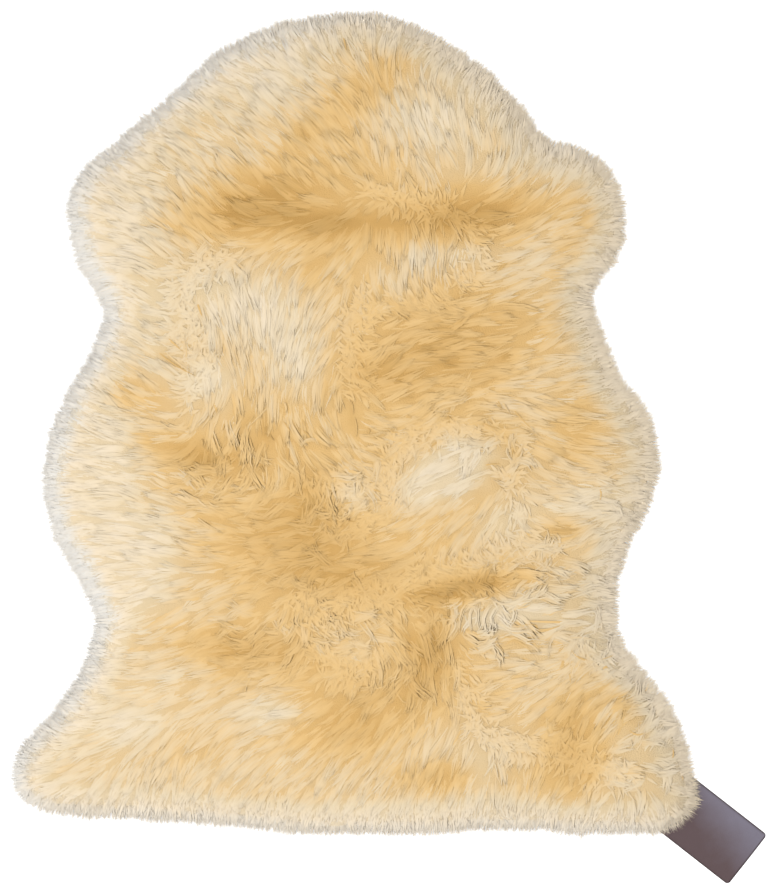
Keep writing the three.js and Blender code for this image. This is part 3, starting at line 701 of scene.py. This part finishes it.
def strand_arrays(pelt, paths, radii, tones, shares, **_):
    """Closed, tapered, flattened three-sided strands as arrays. paths is (n, rings + 1, 3) and ends in the tip."""
    n, points = paths.shape[:2]
    rings = points - 1
    ahead = np.gradient(paths, axis=1)
    whole = paths[:, -1:] - paths[:, :1]
    flat = np.where(np.linalg.norm(ahead[..., :2], axis=-1, keepdims=True) > 0.3 * MM, ahead[..., :2], whole[..., :2])
    across = np.concatenate([turned(unit(flat), math.pi / 2), np.zeros((n, points, 1))], -1)
    over = unit(np.cross(ahead, across))
    # Each section is a low triangle: its two feet lie across the strand, and its ridge is on top.
    feet, ridge = np.array([0, -1, 1]), np.array(RIDGE)
    around = feet[:, None] * across[:, :rings, None] + ridge[:, None] * over[:, :rings, None]
    body = paths[:, :rings, None] + around * radii[:, :rings, None, None]
    vertices = np.concatenate([body.reshape(n, -1, 3), paths[:, -1:]], 1)
    # The strands are shaded as the surface they make up, and only partly as themselves.
    surface = pelt.at(pelt.normal, paths[..., :2]) + 1.5 * over
    at_rim = 1 - eased(pelt.at(pelt.inset, paths[..., :2]), -2 * MM, 14 * MM)
    surface[..., 2] += 0.9 + 2.5 * at_rim
    surface = unit(surface)
    own = OWN_SHADE * feet[:, None] * across[:, :rings, None]
    normals = np.concatenate([(surface[:, :rings, None] + own).reshape(n, -1, 3), surface[:, -1:]], 1)

    a = np.arange(3)
    b = (a + 1) % 3
    ring = 3 * np.arange(rings - 1)[:, None]
    low_half = np.stack([ring + a, ring + b, ring + 3 + b], -1).reshape(-1, 3)
    high_half = np.stack([ring + a, ring + 3 + b, ring + 3 + a], -1).reshape(-1, 3)
    last = 3 * (rings - 1)
    tip = np.stack([last + a, last + b, np.full(3, 3 * rings)], -1)
    root = np.array([[2, 1, 0]])
    pattern = np.concatenate([low_half, high_half, tip, root])
    triangles = (pattern[None] + (3 * rings + 1) * np.arange(n)[:, None, None]).reshape(-1, 3)
    # The map holds what colours a strand: its tone across, and the way from its root to its tip upwards.
    tone = tones[:, :rings, None] + np.array([-0.005, 0, 0.01])
    u = np.concatenate([tone.reshape(n, -1), tones[:, -1:]], 1).clip(0.01, 0.99).ravel()
    v = np.concatenate([np.repeat(shares[:, :rings], 3, axis=1), shares[:, -1:]], 1).ravel()
    uv = np.stack([u, 0.01 + 0.98 * v], -1)
    return vertices.reshape(-1, 3), unit(normals.reshape(-1, 3)), triangles, uv


def strand_object(name, groups):
    """One mesh of several groups of strands."""
    counts = np.cumsum([0] + [len(g[0]) for g in groups])
    vertices, normals, uv = (np.concatenate([g[i] for g in groups]) for i in (0, 1, 3))
    triangles = np.concatenate([g[2] + first for g, first in zip(groups, counts)])
    mesh = bpy.data.meshes.new(name)
    mesh.vertices.add(len(vertices))
    mesh.vertices.foreach_set("co", vertices.astype(np.float32).ravel())
    mesh.loops.add(triangles.size)
    mesh.loops.foreach_set("vertex_index", triangles.astype(np.int32).ravel())
    mesh.polygons.add(len(triangles))
    mesh.polygons.foreach_set("loop_start", 3 * np.arange(len(triangles), dtype=np.int32))
    mesh.polygons.foreach_set("use_smooth", np.ones(len(triangles), bool))
    mesh.uv_layers.new(name="OFBake").data.foreach_set("uv", uv[triangles.ravel()].astype(np.float32).ravel())
    mesh.update(calc_edges=True)
    mesh.normals_split_custom_set_from_vertices(normals)
    o = bpy.data.objects.new(name, mesh)
    bpy.context.scene.collection.objects.link(o)
    return o


def pile_locks(pelt, wool, rng):
    """The locks: a line along the comb for each, with its own bend, rise, tone and curl."""
    start = pelt.scattered(wool.lock_spacing, rng, -1 * MM)
    n = len(start)
    calm = pelt.at(pelt.calm, start)
    curl = np.clip(pelt.at(pelt.curl, start), 0, 1)
    parted = 1 - eased(calm, 0.1, 0.85)
    # Locks leave the comb most in curls and where the wool parts, and are shorter there.
    bend = rng.normal(0, 1, n) * (0.10 + 0.45 * curl + 0.9 * parted)
    curve = rng.normal(0, 1, n) * (0.18 + 1.1 * curl)
    relief = pelt.at(pelt.relief, start)
    length = wool.length * rng.uniform(0.8, 1.15, n) * (1 - 0.3 * curl) * (1 - 0.45 * parted)
    line = pelt.followed(start, length, bend, curve)
    # A lock at the rim ends where the fringe does.
    reach = -wool.fringe * rng.uniform(0.4, 0.92, n)
    past = pelt.at(pelt.inset, line) < reach[:, None]
    cut = np.where(past.any(1), np.maximum(past.argmax(1), 2) / (line.shape[1] - 1), 1)
    line = along(line, cut[:, None] * np.linspace(0, 1, line.shape[1]))
    return {
        "start": start,
        "line": line,
        "curl": curl,
        "relief": relief,
        "rise": rng.uniform(-1.9, 1.9, n) * MM * relief * (1 + 1.2 * curl),
        "tone": rng.normal(0, 0.035, n) * relief,
        "phase": rng.uniform(0, 2 * math.pi, n),
        "draw": rng.uniform(0.25, 0.65, n),
    }


def pile_strands(pelt, wool, rng, locks, spacing, width, rings, chosen, rise, stray):
    """Strands that grow in the chosen locks, as paths with their widths and tones."""
    roots = pelt.scattered(spacing, rng, 0)
    tree = kdtree.KDTree(len(locks["start"]))
    for i, (x, y) in enumerate(locks["start"]):
        tree.insert((x, y, 0), i)
    tree.balance()
    lock = np.array([tree.find((x, y, 0))[1] for x, y in roots])
    lines = locks["line"][lock]
    keep = chosen[lock] & (np.linalg.norm(lines[:, -1] - lines[:, 0], axis=-1) > 6 * MM)
    # The eye of a whorl stays open, so that no strand is folded there.
    for x, y, _, _ in rows_of(WHORLS):
        keep &= np.linalg.norm(lines - MM * np.array([x, y]), axis=-1).min(-1) > pelt.EYE
    roots, lock = roots[keep], lock[keep]
    n = len(roots)
    share = shares_of(n, rings)
    reach = rng.uniform(0.72, 1.0, n)[:, None]
    centre = along(locks["line"][lock], share * reach)
    side = turned(unit(locks["line"][lock][:, -1] - locks["line"][lock][:, 0]), math.pi / 2)
    curl = locks["curl"][lock][:, None]
    draw = locks["draw"][lock][:, None]
    offset = (roots - locks["start"][lock])[:, None] * (1 - draw * share**1.3)[..., None]
    drift = rng.normal(0, 1, n)[:, None] * (stray + 2.0 * MM * curl) * share**2
    wave = (0.35 + 1.9 * curl) * MM * np.sin(
        locks["phase"][lock][:, None] + share * reach * (7 + 6 * curl) + rng.normal(0, 0.25, n)[:, None]
    )
    place = centre + offset + side[:, None] * (drift + wave * share)[..., None]
    # A lock is round: its middle is highest and its sides lie deeper. Its middle is painted paler and its sides more
    # golden, as painted light and shade.
    aside = ((offset[:, 0] * side).sum(-1) / (0.5 * wool.lock_spacing)) ** 2
    up = 1 - (1 - share) ** 2.1
    relief = locks["relief"][lock]
    own = rng.uniform(*rise, n) * relief**0.5
    lift = (locks["rise"][lock] - 1.1 * MM * relief * aside + own)[:, None] * up - wool.depth * (1 - up)
    height = np.maximum(pelt.at(pelt.height, place) + lift, 1.2 * MM)
    inset = pelt.at(pelt.inset, place)
    # A strand is widest a third of the way up, and slimmer near the rim.
    profile = np.interp(share, [0, 0.35, 0.7, 0.85, 1], [0.5, 1, 0.8, 0.5, 0.05])
    slim = 0.3 + 0.7 * eased(inset, -10 * MM, 18 * MM)
    radii = 0.5 * width * rng.uniform(0.7, 1.25, n)[:, None] * profile * slim
    # Painted light and shade: the sides of a lock and the lower strands are painted more golden, higher strands
    # paler. The rest of the change is the lock's and strand's own tone.
    change = locks["tone"][lock] + 0.08 * relief * (aside - 0.4) + rng.normal(0, 0.008, n) * relief - 0.015 * own / MM
    tones = pelt.at(pelt.tone, place) + change[:, None] * (0.3 + 0.7 * eased(inset, -5 * MM, 35 * MM))
    return group_of(place, height, radii, tones, share, locks["start"][lock][:, 1])


def loose_strands(pelt, rng, rings):
    """A few strands for each of the loose locks."""
    rows = np.array(rows_of(LOOSE_LOCKS), float)
    count = np.maximum(3, (1.5 * rows[:, 6]).astype(int))
    rows = np.repeat(rows, count, axis=0)
    n = len(rows)
    root, middle, tip = (MM * rows[:, None, i : i + 2] for i in (0, 2, 4))
    tip = root + (tip - root) * rng.uniform(0.85, 1.1, n)[:, None, None]
    share = shares_of(n, rings)
    t = share[..., None]
    place = root * (1 - t) * (1 - 2 * t) + middle * 4 * t * (1 - t) + tip * t * (2 * t - 1)
    side = turned(unit(tip - root), math.pi / 2)
    place = place + side * (rng.uniform(-0.5, 0.5, n) * rows[:, 6] * MM)[:, None, None] * (1 - 0.5 * t)
    # Pale locks lie on the rest, and golden ones a little deeper. Heights are in millimetres.
    pale = (rows[:, 7] < 0.5)[:, None]
    rise = np.interp(share, [0, 0.25, 0.6, 1], [-1.5, 0.8, 1.4, 0.5])
    lift = rise + rng.uniform(-0.6, 0.4, n)[:, None] + 0.5 * pale
    height = pelt.at(pelt.height, place) + MM * lift
    profile = np.interp(share, [0, 0.3, 0.7, 1], [0.4, 1, 0.8, 0.05])
    radii = 0.5 * MM * rng.uniform(0.7, 1.4, n)[:, None] * profile
    # Rows with a high tone are dark strands of painted shade where the wool opens.
    tones = 0.65 * pelt.at(pelt.tone, place) + (0.09 + 0.35 * rows[:, 7] + rng.normal(0, 0.02, n))[:, None]
    return group_of(place, height, radii, tones, 0.5 + 0.5 * share, MM * rows[:, 1])


def parting_strands(pelt, wool, rng, rings, spacing):
    """Short strands that cross over wherever the comb parts, each on its own."""
    places = pelt.scattered(spacing, rng, 8 * MM)
    calm = pelt.at(pelt.calm, places)
    places = places[calm + rng.uniform(-0.15, 0.15, len(places)) < 0.5]
    n = len(places)
    across = rng.uniform(0, 1, n) < 0.5
    bend = rng.normal(0, 0.4, n) + math.pi * across
    length = rng.uniform(13, 21, n) * MM
    line = pelt.followed(places, length, bend, rng.normal(0, 0.3, n), hold=1)
    share = shares_of(n, rings)
    place = along(line, share)
    up = 1 - (1 - share) ** 2
    height = pelt.at(pelt.height, place) - 2.4 * MM * (1 - up) + rng.uniform(-0.3, 1, n)[:, None] * MM * up
    profile = np.interp(share, [0, 0.5, 1], [0.5, 1, 0.05])
    radii = 0.5 * wool.tuft_width * rng.uniform(0.6, 1.1, n)[:, None] * profile
    tones = pelt.at(pelt.tone, place) + rng.normal(0, 0.012, n)[:, None]
    return group_of(place, height, radii, tones, share, places[:, 1])


def rim_strands(pelt, wool, rng, rings, spacing, levels):
    """Strands that stand out of the rim, between two levels: 0 is just over the floor and 1 the wool's surface."""
    places = pelt.scattered(spacing, rng, -2 * MM)
    places = places[pelt.at(pelt.inset, places) < 10 * MM]
    n = len(places)
    level = rng.uniform(*levels, n)
    out = pelt.at(pelt.outward, places)
    comb = pelt.at(pelt.comb, places)
    way = turned(unit(0.6 * out + 0.4 * comb), rng.normal(0, 0.28, n))
    inset = pelt.at(pelt.inset, places)
    length = inset + 5 * MM + wool.fringe * rng.uniform(0.6, 1.25, n) * (0.75 + 0.25 * level)
    share = shares_of(n, rings)
    sway = rng.normal(0, 1.5, n)[:, None] * MM * share**2
    place = (places - way * 5 * MM)[:, None] + way[:, None] * (share * length[:, None])[..., None]
    place = place + turned(way, math.pi / 2)[:, None] * sway[..., None]
    lowest = 1.5 * MM
    height = lowest + level[:, None] * (pelt.at(pelt.height, place) - lowest)
    height = np.maximum(height + rng.uniform(-0.6, 0.6, n)[:, None] * MM * share, 1 * MM)
    profile = np.interp(share, [0, 0.4, 0.8, 1], [0.15, 1, 0.7, 0.1])
    radii = 0.24 * wool.hair_width * rng.uniform(0.8, 1.4, n)[:, None] * profile
    tones = pelt.at(pelt.tone, place) + rng.normal(0, 0.015, n)[:, None]
    return group_of(place, height, radii, tones, 0.55 + 0.45 * share, places[:, 1])


# ---- Materials ----


def new_material(name, **values):
    """A material, its shader with these values set, and helpers that add a node and link two sockets."""
    material = bpy.data.materials.new(name)
    material.use_nodes = True
    tree = material.node_tree
    shader = tree.nodes["Principled BSDF"]
    for key, value in values.items():
        shader.inputs[key.replace("_", " ").title().replace("Ior", "IOR")].default_value = value

    def add(kind, inputs=(), **settings):
        node = tree.nodes.new(kind)
        for key, value in settings.items():
            setattr(node, key, value)
        for key, value in dict(inputs).items():
            if isinstance(value, bpy.types.NodeSocket):
                tree.links.new(value, node.inputs[key])
            else:
                node.inputs[key].default_value = value
        return node

    return material, shader, add, tree.links.new


def set_ramp(node, stops):
    """Gives a colour ramp its stops, each (place, colour)."""
    elements = node.color_ramp.elements
    while len(elements) > 1:
        elements.remove(elements[-1])
    elements[0].position = stops[0][0]
    elements[0].color = (*stops[0][1], 1)
    for place, colour in stops[1:]:
        elements.new(place).color = (*colour, 1)
    return node


def wool_stops(wool, tint=(1, 1, 1)):
    """The stops of the ramp that turns a tone into a colour, each colour tinted."""
    colours = [wool.rim, wool.pale, wool.cream, wool.honey, wool.gold, wool.shaded_amber]
    places = [0.0, 0.16, 0.38, 0.64, 0.88, 1.0]
    return [(at, [min(0.97, c * t) for c, t in zip(colour, tint)]) for at, colour in zip(places, colours)]


def wool_material(wool):
    """Wool: the tone picks cream to gold, and the colour deepens towards the root, partly its own colour and partly
    painted shade of the deep wool.
    """
    material, shader, add, link = new_material("wool_pile", roughness=0.75, specular_ior_level=0.05)
    place = add("ShaderNodeUVMap", uv_map="OFBake").outputs["UV"]
    split = add("ShaderNodeSeparateXYZ", {"Vector": place})
    tip = set_ramp(add("ShaderNodeValToRGB", {"Fac": split.outputs["X"]}), wool_stops(wool))
    # Partly painted shade: the colour darkens and turns more golden towards the root.
    tint = set_ramp(
        add("ShaderNodeValToRGB", {"Fac": split.outputs["Y"]}),
        [(0.1, wool.root_shade_tint), (0.5, [0.7 + 0.3 * c for c in wool.root_shade_tint]), (0.8, (1, 1, 1))],
    )
    mix = add(
        "ShaderNodeMix",
        {6: tip.outputs["Color"], 7: tint.outputs["Color"], "Factor": 1.0},
        data_type="RGBA",
        blend_type="MULTIPLY",
    )
    link(mix.outputs[2], shader.inputs["Base Color"])
    return material


def undercoat_material(wool):
    """The dense wool under the strands: mottled gold, darkened with the painted root shade, with a fine matted bump.
    """
    material, shader, add, link = new_material("wool_undercoat", roughness=0.95, specular_ior_level=0.1)
    place = add("ShaderNodeTexCoord").outputs["Object"]
    patches = add("ShaderNodeTexNoise", {"Vector": place, "Scale": 60, "Detail": 4})
    shift = add("ShaderNodeMapRange", {"Value": patches.outputs["Fac"], "To Min": -0.03, "To Max": 0.07})
    tone = add("ShaderNodeAttribute", attribute_name="tone")
    moved = add("ShaderNodeMath", {0: tone.outputs["Fac"], 1: shift.outputs["Result"]}, operation="ADD")
    # The undercoat's colours carry the painted root shade.
    colour = set_ramp(add("ShaderNodeValToRGB", {"Fac": moved.outputs["Value"]}), wool_stops(wool, wool.root_shade_tint))
    link(colour.outputs["Color"], shader.inputs["Base Color"])
    stretch = add("ShaderNodeMapping", {"Vector": place, "Scale": (900, 900, 300)})
    hairs = add("ShaderNodeTexNoise", {"Vector": stretch.outputs["Vector"], "Scale": 1, "Detail": 3})
    bump = add("ShaderNodeBump", {"Height": hairs.outputs["Fac"], "Strength": 0.6, "Distance": 0.002})
    link(bump.outputs["Normal"], shader.inputs["Normal"])
    return material


def suede_material(hide):
    """Suede: mottled tan with a short nap and a few faint veins."""
    material, shader, add, link = new_material(
        "suede", roughness=0.92, specular_ior_level=0.2, sheen_weight=0.3, sheen_roughness=0.5
    )
    place = add("ShaderNodeTexCoord").outputs["Object"]
    mottle = add("ShaderNodeTexNoise", {"Vector": place, "Scale": 9, "Detail": 6, "Roughness": 0.6})
    colour = set_ramp(
        add("ShaderNodeValToRGB", {"Fac": mottle.outputs["Fac"]}),
        [(0.3, hide.stain), (0.55, hide.colour), (0.75, [min(1, 1.12 * c) for c in hide.colour])],
    )
    veins = add("ShaderNodeTexVoronoi", {"Vector": place, "Scale": 11}, feature="DISTANCE_TO_EDGE")
    vein = add("ShaderNodeMapRange", {"Value": veins.outputs["Distance"], "From Max": 0.03, "To Min": 0.9})
    shade = add(
        "ShaderNodeMix",
        {6: colour.outputs["Color"], 7: vein.outputs["Result"], "Factor": 0.5},
        data_type="RGBA",
        blend_type="MULTIPLY",
    )
    link(shade.outputs[2], shader.inputs["Base Color"])
    nap = add("ShaderNodeTexNoise", {"Vector": place, "Scale": 1400, "Detail": 2})
    bump = add("ShaderNodeBump", {"Height": nap.outputs["Fac"], "Strength": 0.35, "Distance": 0.0006})
    link(bump.outputs["Normal"], shader.inputs["Normal"])
    return material


def leather_material(label):
    """Smooth leather with a fine pebbled grain, soft clouding, a painted sheen that makes one half paler, and
    darkened, worn edges.
    """
    material, shader, add, link = new_material("label_leather", specular_ior_level=0.25)
    place = add("ShaderNodeTexCoord").outputs["Object"]
    clouds = add("ShaderNodeTexNoise", {"Vector": place, "Scale": 38, "Detail": 5, "Roughness": 0.6})
    # Painted reflection: this mask paints one half of the label paler, as sheen.
    painted_sheen = add("ShaderNodeAttribute", attribute_name="painted_sheen")
    shift = add("ShaderNodeMapRange", {"Value": clouds.outputs["Fac"], "To Min": -0.25, "To Max": 0.25})
    paler = add("ShaderNodeMath", {0: painted_sheen.outputs["Fac"], 1: shift.outputs["Result"]}, operation="ADD")
    colour = set_ramp(
        add("ShaderNodeValToRGB", {"Fac": paler.outputs["Value"]}), [(0.05, label.colour), (0.95, label.painted_sheen)]
    )
    rim = add("ShaderNodeAttribute", attribute_name="rim")
    shade = add(
        "ShaderNodeMix",
        {6: colour.outputs["Color"], 7: (*label.edge, 1), "Factor": rim.outputs["Fac"]},
        data_type="RGBA",
    )
    link(shade.outputs[2], shader.inputs["Base Color"])
    grain = add("ShaderNodeTexVoronoi", {"Vector": place, "Scale": 1500})
    pores = add("ShaderNodeTexNoise", {"Vector": place, "Scale": 260, "Detail": 4})
    both = add("ShaderNodeMath", {0: grain.outputs["Distance"], 1: pores.outputs["Fac"]}, operation="ADD")
    bump = add("ShaderNodeBump", {"Height": both.outputs["Value"], "Strength": 0.3, "Distance": 0.0003})
    link(bump.outputs["Normal"], shader.inputs["Normal"])
    rough = add("ShaderNodeMapRange", {"Value": clouds.outputs["Fac"], "To Min": 0.42, "To Max": 0.6})
    link(rough.outputs["Result"], shader.inputs["Roughness"])
    return material


# ---- Building ----


def only(o):
    """Makes o the one selected and active object, in object mode."""
    if bpy.context.mode != "OBJECT":
        bpy.ops.object.mode_set(mode="OBJECT")
    bpy.ops.object.select_all(action="DESELECT")
    o.select_set(True)
    bpy.context.view_layer.objects.active = o


def copy_of_node(node, name):
    """A merged copy of a CAD node's mesh as a new object."""
    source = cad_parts[node]
    mesh = bpy.data.meshes.new(name)
    built = bmesh.new()
    built.from_mesh(source.data)
    bmesh.ops.remove_doubles(built, verts=built.verts, dist=1e-5)
    built.to_mesh(mesh)
    built.free()
    o = bpy.data.objects.new(name, mesh)
    bpy.context.scene.collection.objects.link(o)
    only(o)
    return o


def settled(o):
    """Puts a finished piece's place in its mesh, and gives it its body."""
    only(o)
    bpy.ops.object.transform_apply(location=True, rotation=True, scale=True)
    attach(o, "root")


class SHEEPSKIN_OT_undercoat(bpy.types.Operator):
    """Build the dense wool that the strands stand in"""

    bl_idname = "sheepskin.undercoat"
    bl_label = "Undercoat"

    def execute(self, context):
        wool = context.scene.sheepskin_wool
        o = copy_of_node("fleece", "undercoat")
        remesh = o.modifiers.new("even", "REMESH")
        remesh.mode = "VOXEL"
        remesh.voxel_size = 5.5 * MM
        bpy.ops.object.modifier_apply(modifier=remesh.name)
        smooth = o.modifiers.new("soft", "SMOOTH")
        smooth.factor = 0.5
        smooth.iterations = 6
        bpy.ops.object.modifier_apply(modifier=smooth.name)
        mesh = o.data
        n = len(mesh.vertices)
        places = np.zeros(3 * n)
        mesh.vertices.foreach_get("co", places)
        places = places.reshape(-1, 3)
        normals = np.zeros(3 * n)
        mesh.vertex_normals.foreach_get("vector", normals)
        normals = normals.reshape(-1, 3)
        facing_up = eased(normals[:, 2], -0.6, 0.3)
        places -= normals * (1.6 * MM * facing_up)[:, None]
        places[:, 2] = np.maximum(places[:, 2], 0.9 * MM)
        pelt = Pelt("fleece")
        tone = mesh.attributes.new("tone", "FLOAT", "POINT")
        tone.data.foreach_set("value", pelt.at(pelt.tone, places[:, :2]).astype(np.float32))
        mesh.vertices.foreach_set("co", places.astype(np.float32).ravel())
        mesh.update()
        bpy.ops.object.shade_smooth()
        mesh.materials.clear()
        mesh.materials.append(undercoat_material(wool))
        settled(o)
        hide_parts("fleece")
        return {"FINISHED"}


class SHEEPSKIN_OT_pile(bpy.types.Operator):
    """Grow the strands of the pile in locks, one piece for each part of the pelt"""

    bl_idname = "sheepskin.pile"
    bl_label = "Pile"

    def execute(self, context):
        wool = context.scene.sheepskin_wool
        rng = np.random.default_rng(wool.seed)
        pelt = Pelt("fleece")
        locks = pile_locks(pelt, wool, rng)
        curly = locks["curl"] > 0.35
        layers = [
            # (chosen locks, spacing, width, rings, lowest and highest rise, stray), the last three in millimetres
            (~curly, wool.tuft_spacing, wool.tuft_width, 2, -1.2, -0.4, 1),
            (curly, wool.tuft_spacing, 0.8 * wool.tuft_width, 4, -1, 1, 1.2),
            (~curly, wool.hair_spacing, wool.hair_width, 3, -0.2, 0.45, 1.5),
            (curly, wool.hair_spacing, wool.hair_width, 4, 0.3, 2.4, 2),
        ]
        groups = [
            pile_strands(pelt, wool, rng, locks, spacing, width, rings, chosen, (low * MM, high * MM), stray * MM)
            for chosen, spacing, width, rings, low, high, stray in layers
        ]
        groups += [
            parting_strands(pelt, wool, rng, 2, 2.8 * MM),
            loose_strands(pelt, rng, 4),
            rim_strands(pelt, wool, rng, 2, 2.0 * MM, (0, 0.8)),
            rim_strands(pelt, wool, rng, 2, 2.0 * MM, (0.8, 1.05)),
        ]
        every = np.concatenate([g["along_pelt"] for g in groups])
        # A strand's triangles are 6 times its rings less 2, and the pieces share them equally.
        weight = np.concatenate([np.full(len(g["tones"]), g["paths"].shape[1] - 1.3) for g in groups])
        order = np.argsort(-every)
        filled = np.cumsum(weight[order]) / weight.sum()
        bounds = [every[order][np.searchsorted(filled, k / len(PILE_PARTS))] for k in range(1, len(PILE_PARTS))]
        bounds = [np.inf, *bounds, -np.inf]
        material = wool_material(wool)
        for part, high, low in zip(PILE_PARTS, bounds, bounds[1:]):
            arrays = []
            for g in groups:
                here = (g["along_pelt"] <= high) & (g["along_pelt"] > low)
                if here.any():
                    arrays.append(strand_arrays(pelt, **{key: value[here] for key, value in g.items()}))
            o = strand_object(f"pile_{part}", arrays)
            o.data.materials.append(material)
            if len(o.data.polygons) >= MOST_TRIANGLES:
                raise RuntimeError(f"pile_{part} has {len(o.data.polygons)} triangles, which is too many")
            settled(o)
        return {"FINISHED"}


class SHEEPSKIN_OT_hide(bpy.types.Operator):
    """Build the tanned skin, suede side down"""

    bl_idname = "sheepskin.hide"
    bl_label = "Hide"

    def execute(self, context):
        o = copy_of_node("hide", "hide_skin")
        bpy.ops.object.mode_set(mode="EDIT")
        bpy.ops.mesh.select_all(action="SELECT")
        bpy.ops.mesh.subdivide(number_cuts=1)
        bpy.ops.object.mode_set(mode="OBJECT")
        o.data.materials.clear()
        o.data.materials.append(suede_material(context.scene.sheepskin_hide))
        settled(o)
        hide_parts("hide")
        return {"FINISHED"}


class SHEEPSKIN_OT_label(bpy.types.Operator):
    """Build the blank leather label that is sewn under the right hind leg"""

    bl_idname = "sheepskin.label"
    bl_label = "Label"

    def execute(self, context):
        label = context.scene.sheepskin_label
        low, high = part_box("label")
        bpy.ops.object.select_all(action="DESELECT")
        bpy.ops.mesh.primitive_grid_add(x_subdivisions=66, y_subdivisions=40, size=1, location=(0, 0, 0))
        o = context.view_layer.objects.active
        o.name = "leather_label"
        half = np.array([label.length, label.width]) / 2
        start = half - label.corner
        for v in o.data.vertices:
            flat = np.array(v.co[:2]) * 2 * half
            over = np.clip((np.abs(flat) - start) / label.corner, 0, None)
            rounded = over * np.sqrt(1 - over[::-1] ** 2 / 2)
            flat = np.sign(flat) * (np.minimum(np.abs(flat), start) + label.corner * rounded)
            free = eased(flat[0], 0, half[0])
            wave = label.wave * free * (0.5 + 0.5 * math.sin(2.6 * flat[1] / half[1] + 0.8))
            v.co = (*flat, wave)
        solid = o.modifiers.new("solid", "SOLIDIFY")
        solid.thickness = high.z - low.z
        solid.offset = 1
        bpy.ops.object.modifier_apply(modifier=solid.name)
        edge = o.modifiers.new("edge", "BEVEL")
        edge.width = 0.4 * MM
        edge.segments = 2
        edge.angle_limit = 1
        bpy.ops.object.modifier_apply(modifier=edge.name)
        bpy.ops.object.shade_smooth()
        self.mark_rim(o.data, label)
        turn = Matrix.Rotation(label.heading, 4, "Z")
        o.matrix_world = Matrix.Translation(((low.x + high.x) / 2, (low.y + high.y) / 2, 0)) @ turn
        o.data.materials.append(leather_material(label))
        settled(o)
        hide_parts("label")
        return {"FINISHED"}

    @staticmethod
    def mark_rim(mesh, label):
        """Vertex attributes: rim is 1 on the cut edge, and the painted sheen mask is 1 on the side painted paler as a
        reflection.
        """
        rim = mesh.attributes.new("rim", "FLOAT", "POINT")
        for v, value in zip(mesh.vertices, rim.data):
            inside = min(label.length / 2 - abs(v.co.x), label.width / 2 - abs(v.co.y))
            value.value = float(1 - eased(inside, 0.2 * MM, 2.2 * MM))
        # Painted reflection: the side of the label painted paler, as sheen.
        painted_sheen = mesh.attributes.new("painted_sheen", "FLOAT", "POINT")
        for v, value in zip(mesh.vertices, painted_sheen.data):
            value.value = float(eased(v.co.y + 0.25 * v.co.x, -0.2 * label.width, 0.75 * label.width))


class SHEEPSKIN_OT_stage(bpy.types.Operator):
    """Set the floor, the light and the camera"""

    bl_idname = "sheepskin.stage"
    bl_label = "Stage"

    def execute(self, context):
        stage = context.scene.sheepskin_stage
        bpy.ops.object.select_all(action="DESELECT")
        bpy.ops.mesh.primitive_plane_add(size=30, location=(0, 0, 0))
        floor = context.view_layer.objects.active
        floor.name = "floor"
        material, *_ = new_material(
            "floor",
            base_color=(*stage.floor, 1),
            roughness=1,
            specular_ior_level=0,
            emission_color=(1, 1, 1, 1),
            emission_strength=stage.floor_glow,
        )
        floor.data.materials.append(material)

        world = bpy.data.worlds.new("studio")
        world.use_nodes = True
        sky = world.node_tree.nodes["Background"]
        sky.inputs["Color"].default_value = (1, 1, 1, 1)
        sky.inputs["Strength"].default_value = stage.sky
        context.scene.world = world
        self.lamp(stage, (-0.75, -0.36, 3.6))

        data = bpy.data.cameras.new("camera")
        camera = bpy.data.objects.new("camera", data)
        context.scene.collection.objects.link(camera)
        data.sensor_width = 36
        data.lens = data.sensor_width * stage.camera_height / stage.view_long
        data.clip_end = 50
        camera.location = (stage.view_x, stage.view_y, stage.camera_height)
        context.scene.camera = camera
        context.scene.view_settings.view_transform = "Standard"
        context.scene.view_settings.look = "None"
        return {"FINISHED"}

    @staticmethod
    def lamp(stage, place):
        """A round lamp at that place, turned to the middle of the floor."""
        data = bpy.data.lights.new("key", "AREA")
        data.shape = "DISK"
        data.size = stage.lamp_size
        data.energy = stage.lamp_power
        o = bpy.data.objects.new("key", data)
        bpy.context.scene.collection.objects.link(o)
        o.location = place
        o.rotation_euler = (-Vector(place)).to_track_quat("-Z", "Y").to_euler()


class SHEEPSKIN_PT_panel(bpy.types.Panel):
    """Sizes and colours of the rug, and a button for each piece"""

    bl_idname = "SHEEPSKIN_PT_panel"
    bl_label = "Sheepskin Rug"
    bl_space_type = "VIEW_3D"
    bl_region_type = "UI"
    bl_category = "Sheepskin"

    def draw(self, context):
        scene = context.scene
        for settings, operators in GROUPS:
            box = self.layout.box()
            values = getattr(scene, settings)
            for name in values.__annotations__:
                box.prop(values, name)
            for operator in operators:
                box.operator(operator.bl_idname)


GROUPS = [
    ("sheepskin_wool", [SHEEPSKIN_OT_undercoat, SHEEPSKIN_OT_pile]),
    ("sheepskin_hide", [SHEEPSKIN_OT_hide]),
    ("sheepskin_label", [SHEEPSKIN_OT_label]),
    ("sheepskin_stage", [SHEEPSKIN_OT_stage]),
]
SETTINGS = [WoolSettings, HideSettings, LabelSettings, StageSettings]
CLASSES = [*SETTINGS, *(operator for _, operators in GROUPS for operator in operators), SHEEPSKIN_PT_panel]


def register():
    for cls in CLASSES:
        bpy.utils.register_class(cls)
    for (name, _), settings in zip(GROUPS, SETTINGS):
        setattr(bpy.types.Scene, name, bpy.props.PointerProperty(type=settings))


def unregister():
    for name, _ in GROUPS:
        delattr(bpy.types.Scene, name)
    for cls in reversed(CLASSES):
        bpy.utils.unregister_class(cls)


def main():
    register()
    bpy.ops.sheepskin.stage()
    bpy.ops.sheepskin.undercoat()
    bpy.ops.sheepskin.pile()
    bpy.ops.sheepskin.hide()
    bpy.ops.sheepskin.label()


if __name__ == "__main__":
    main()
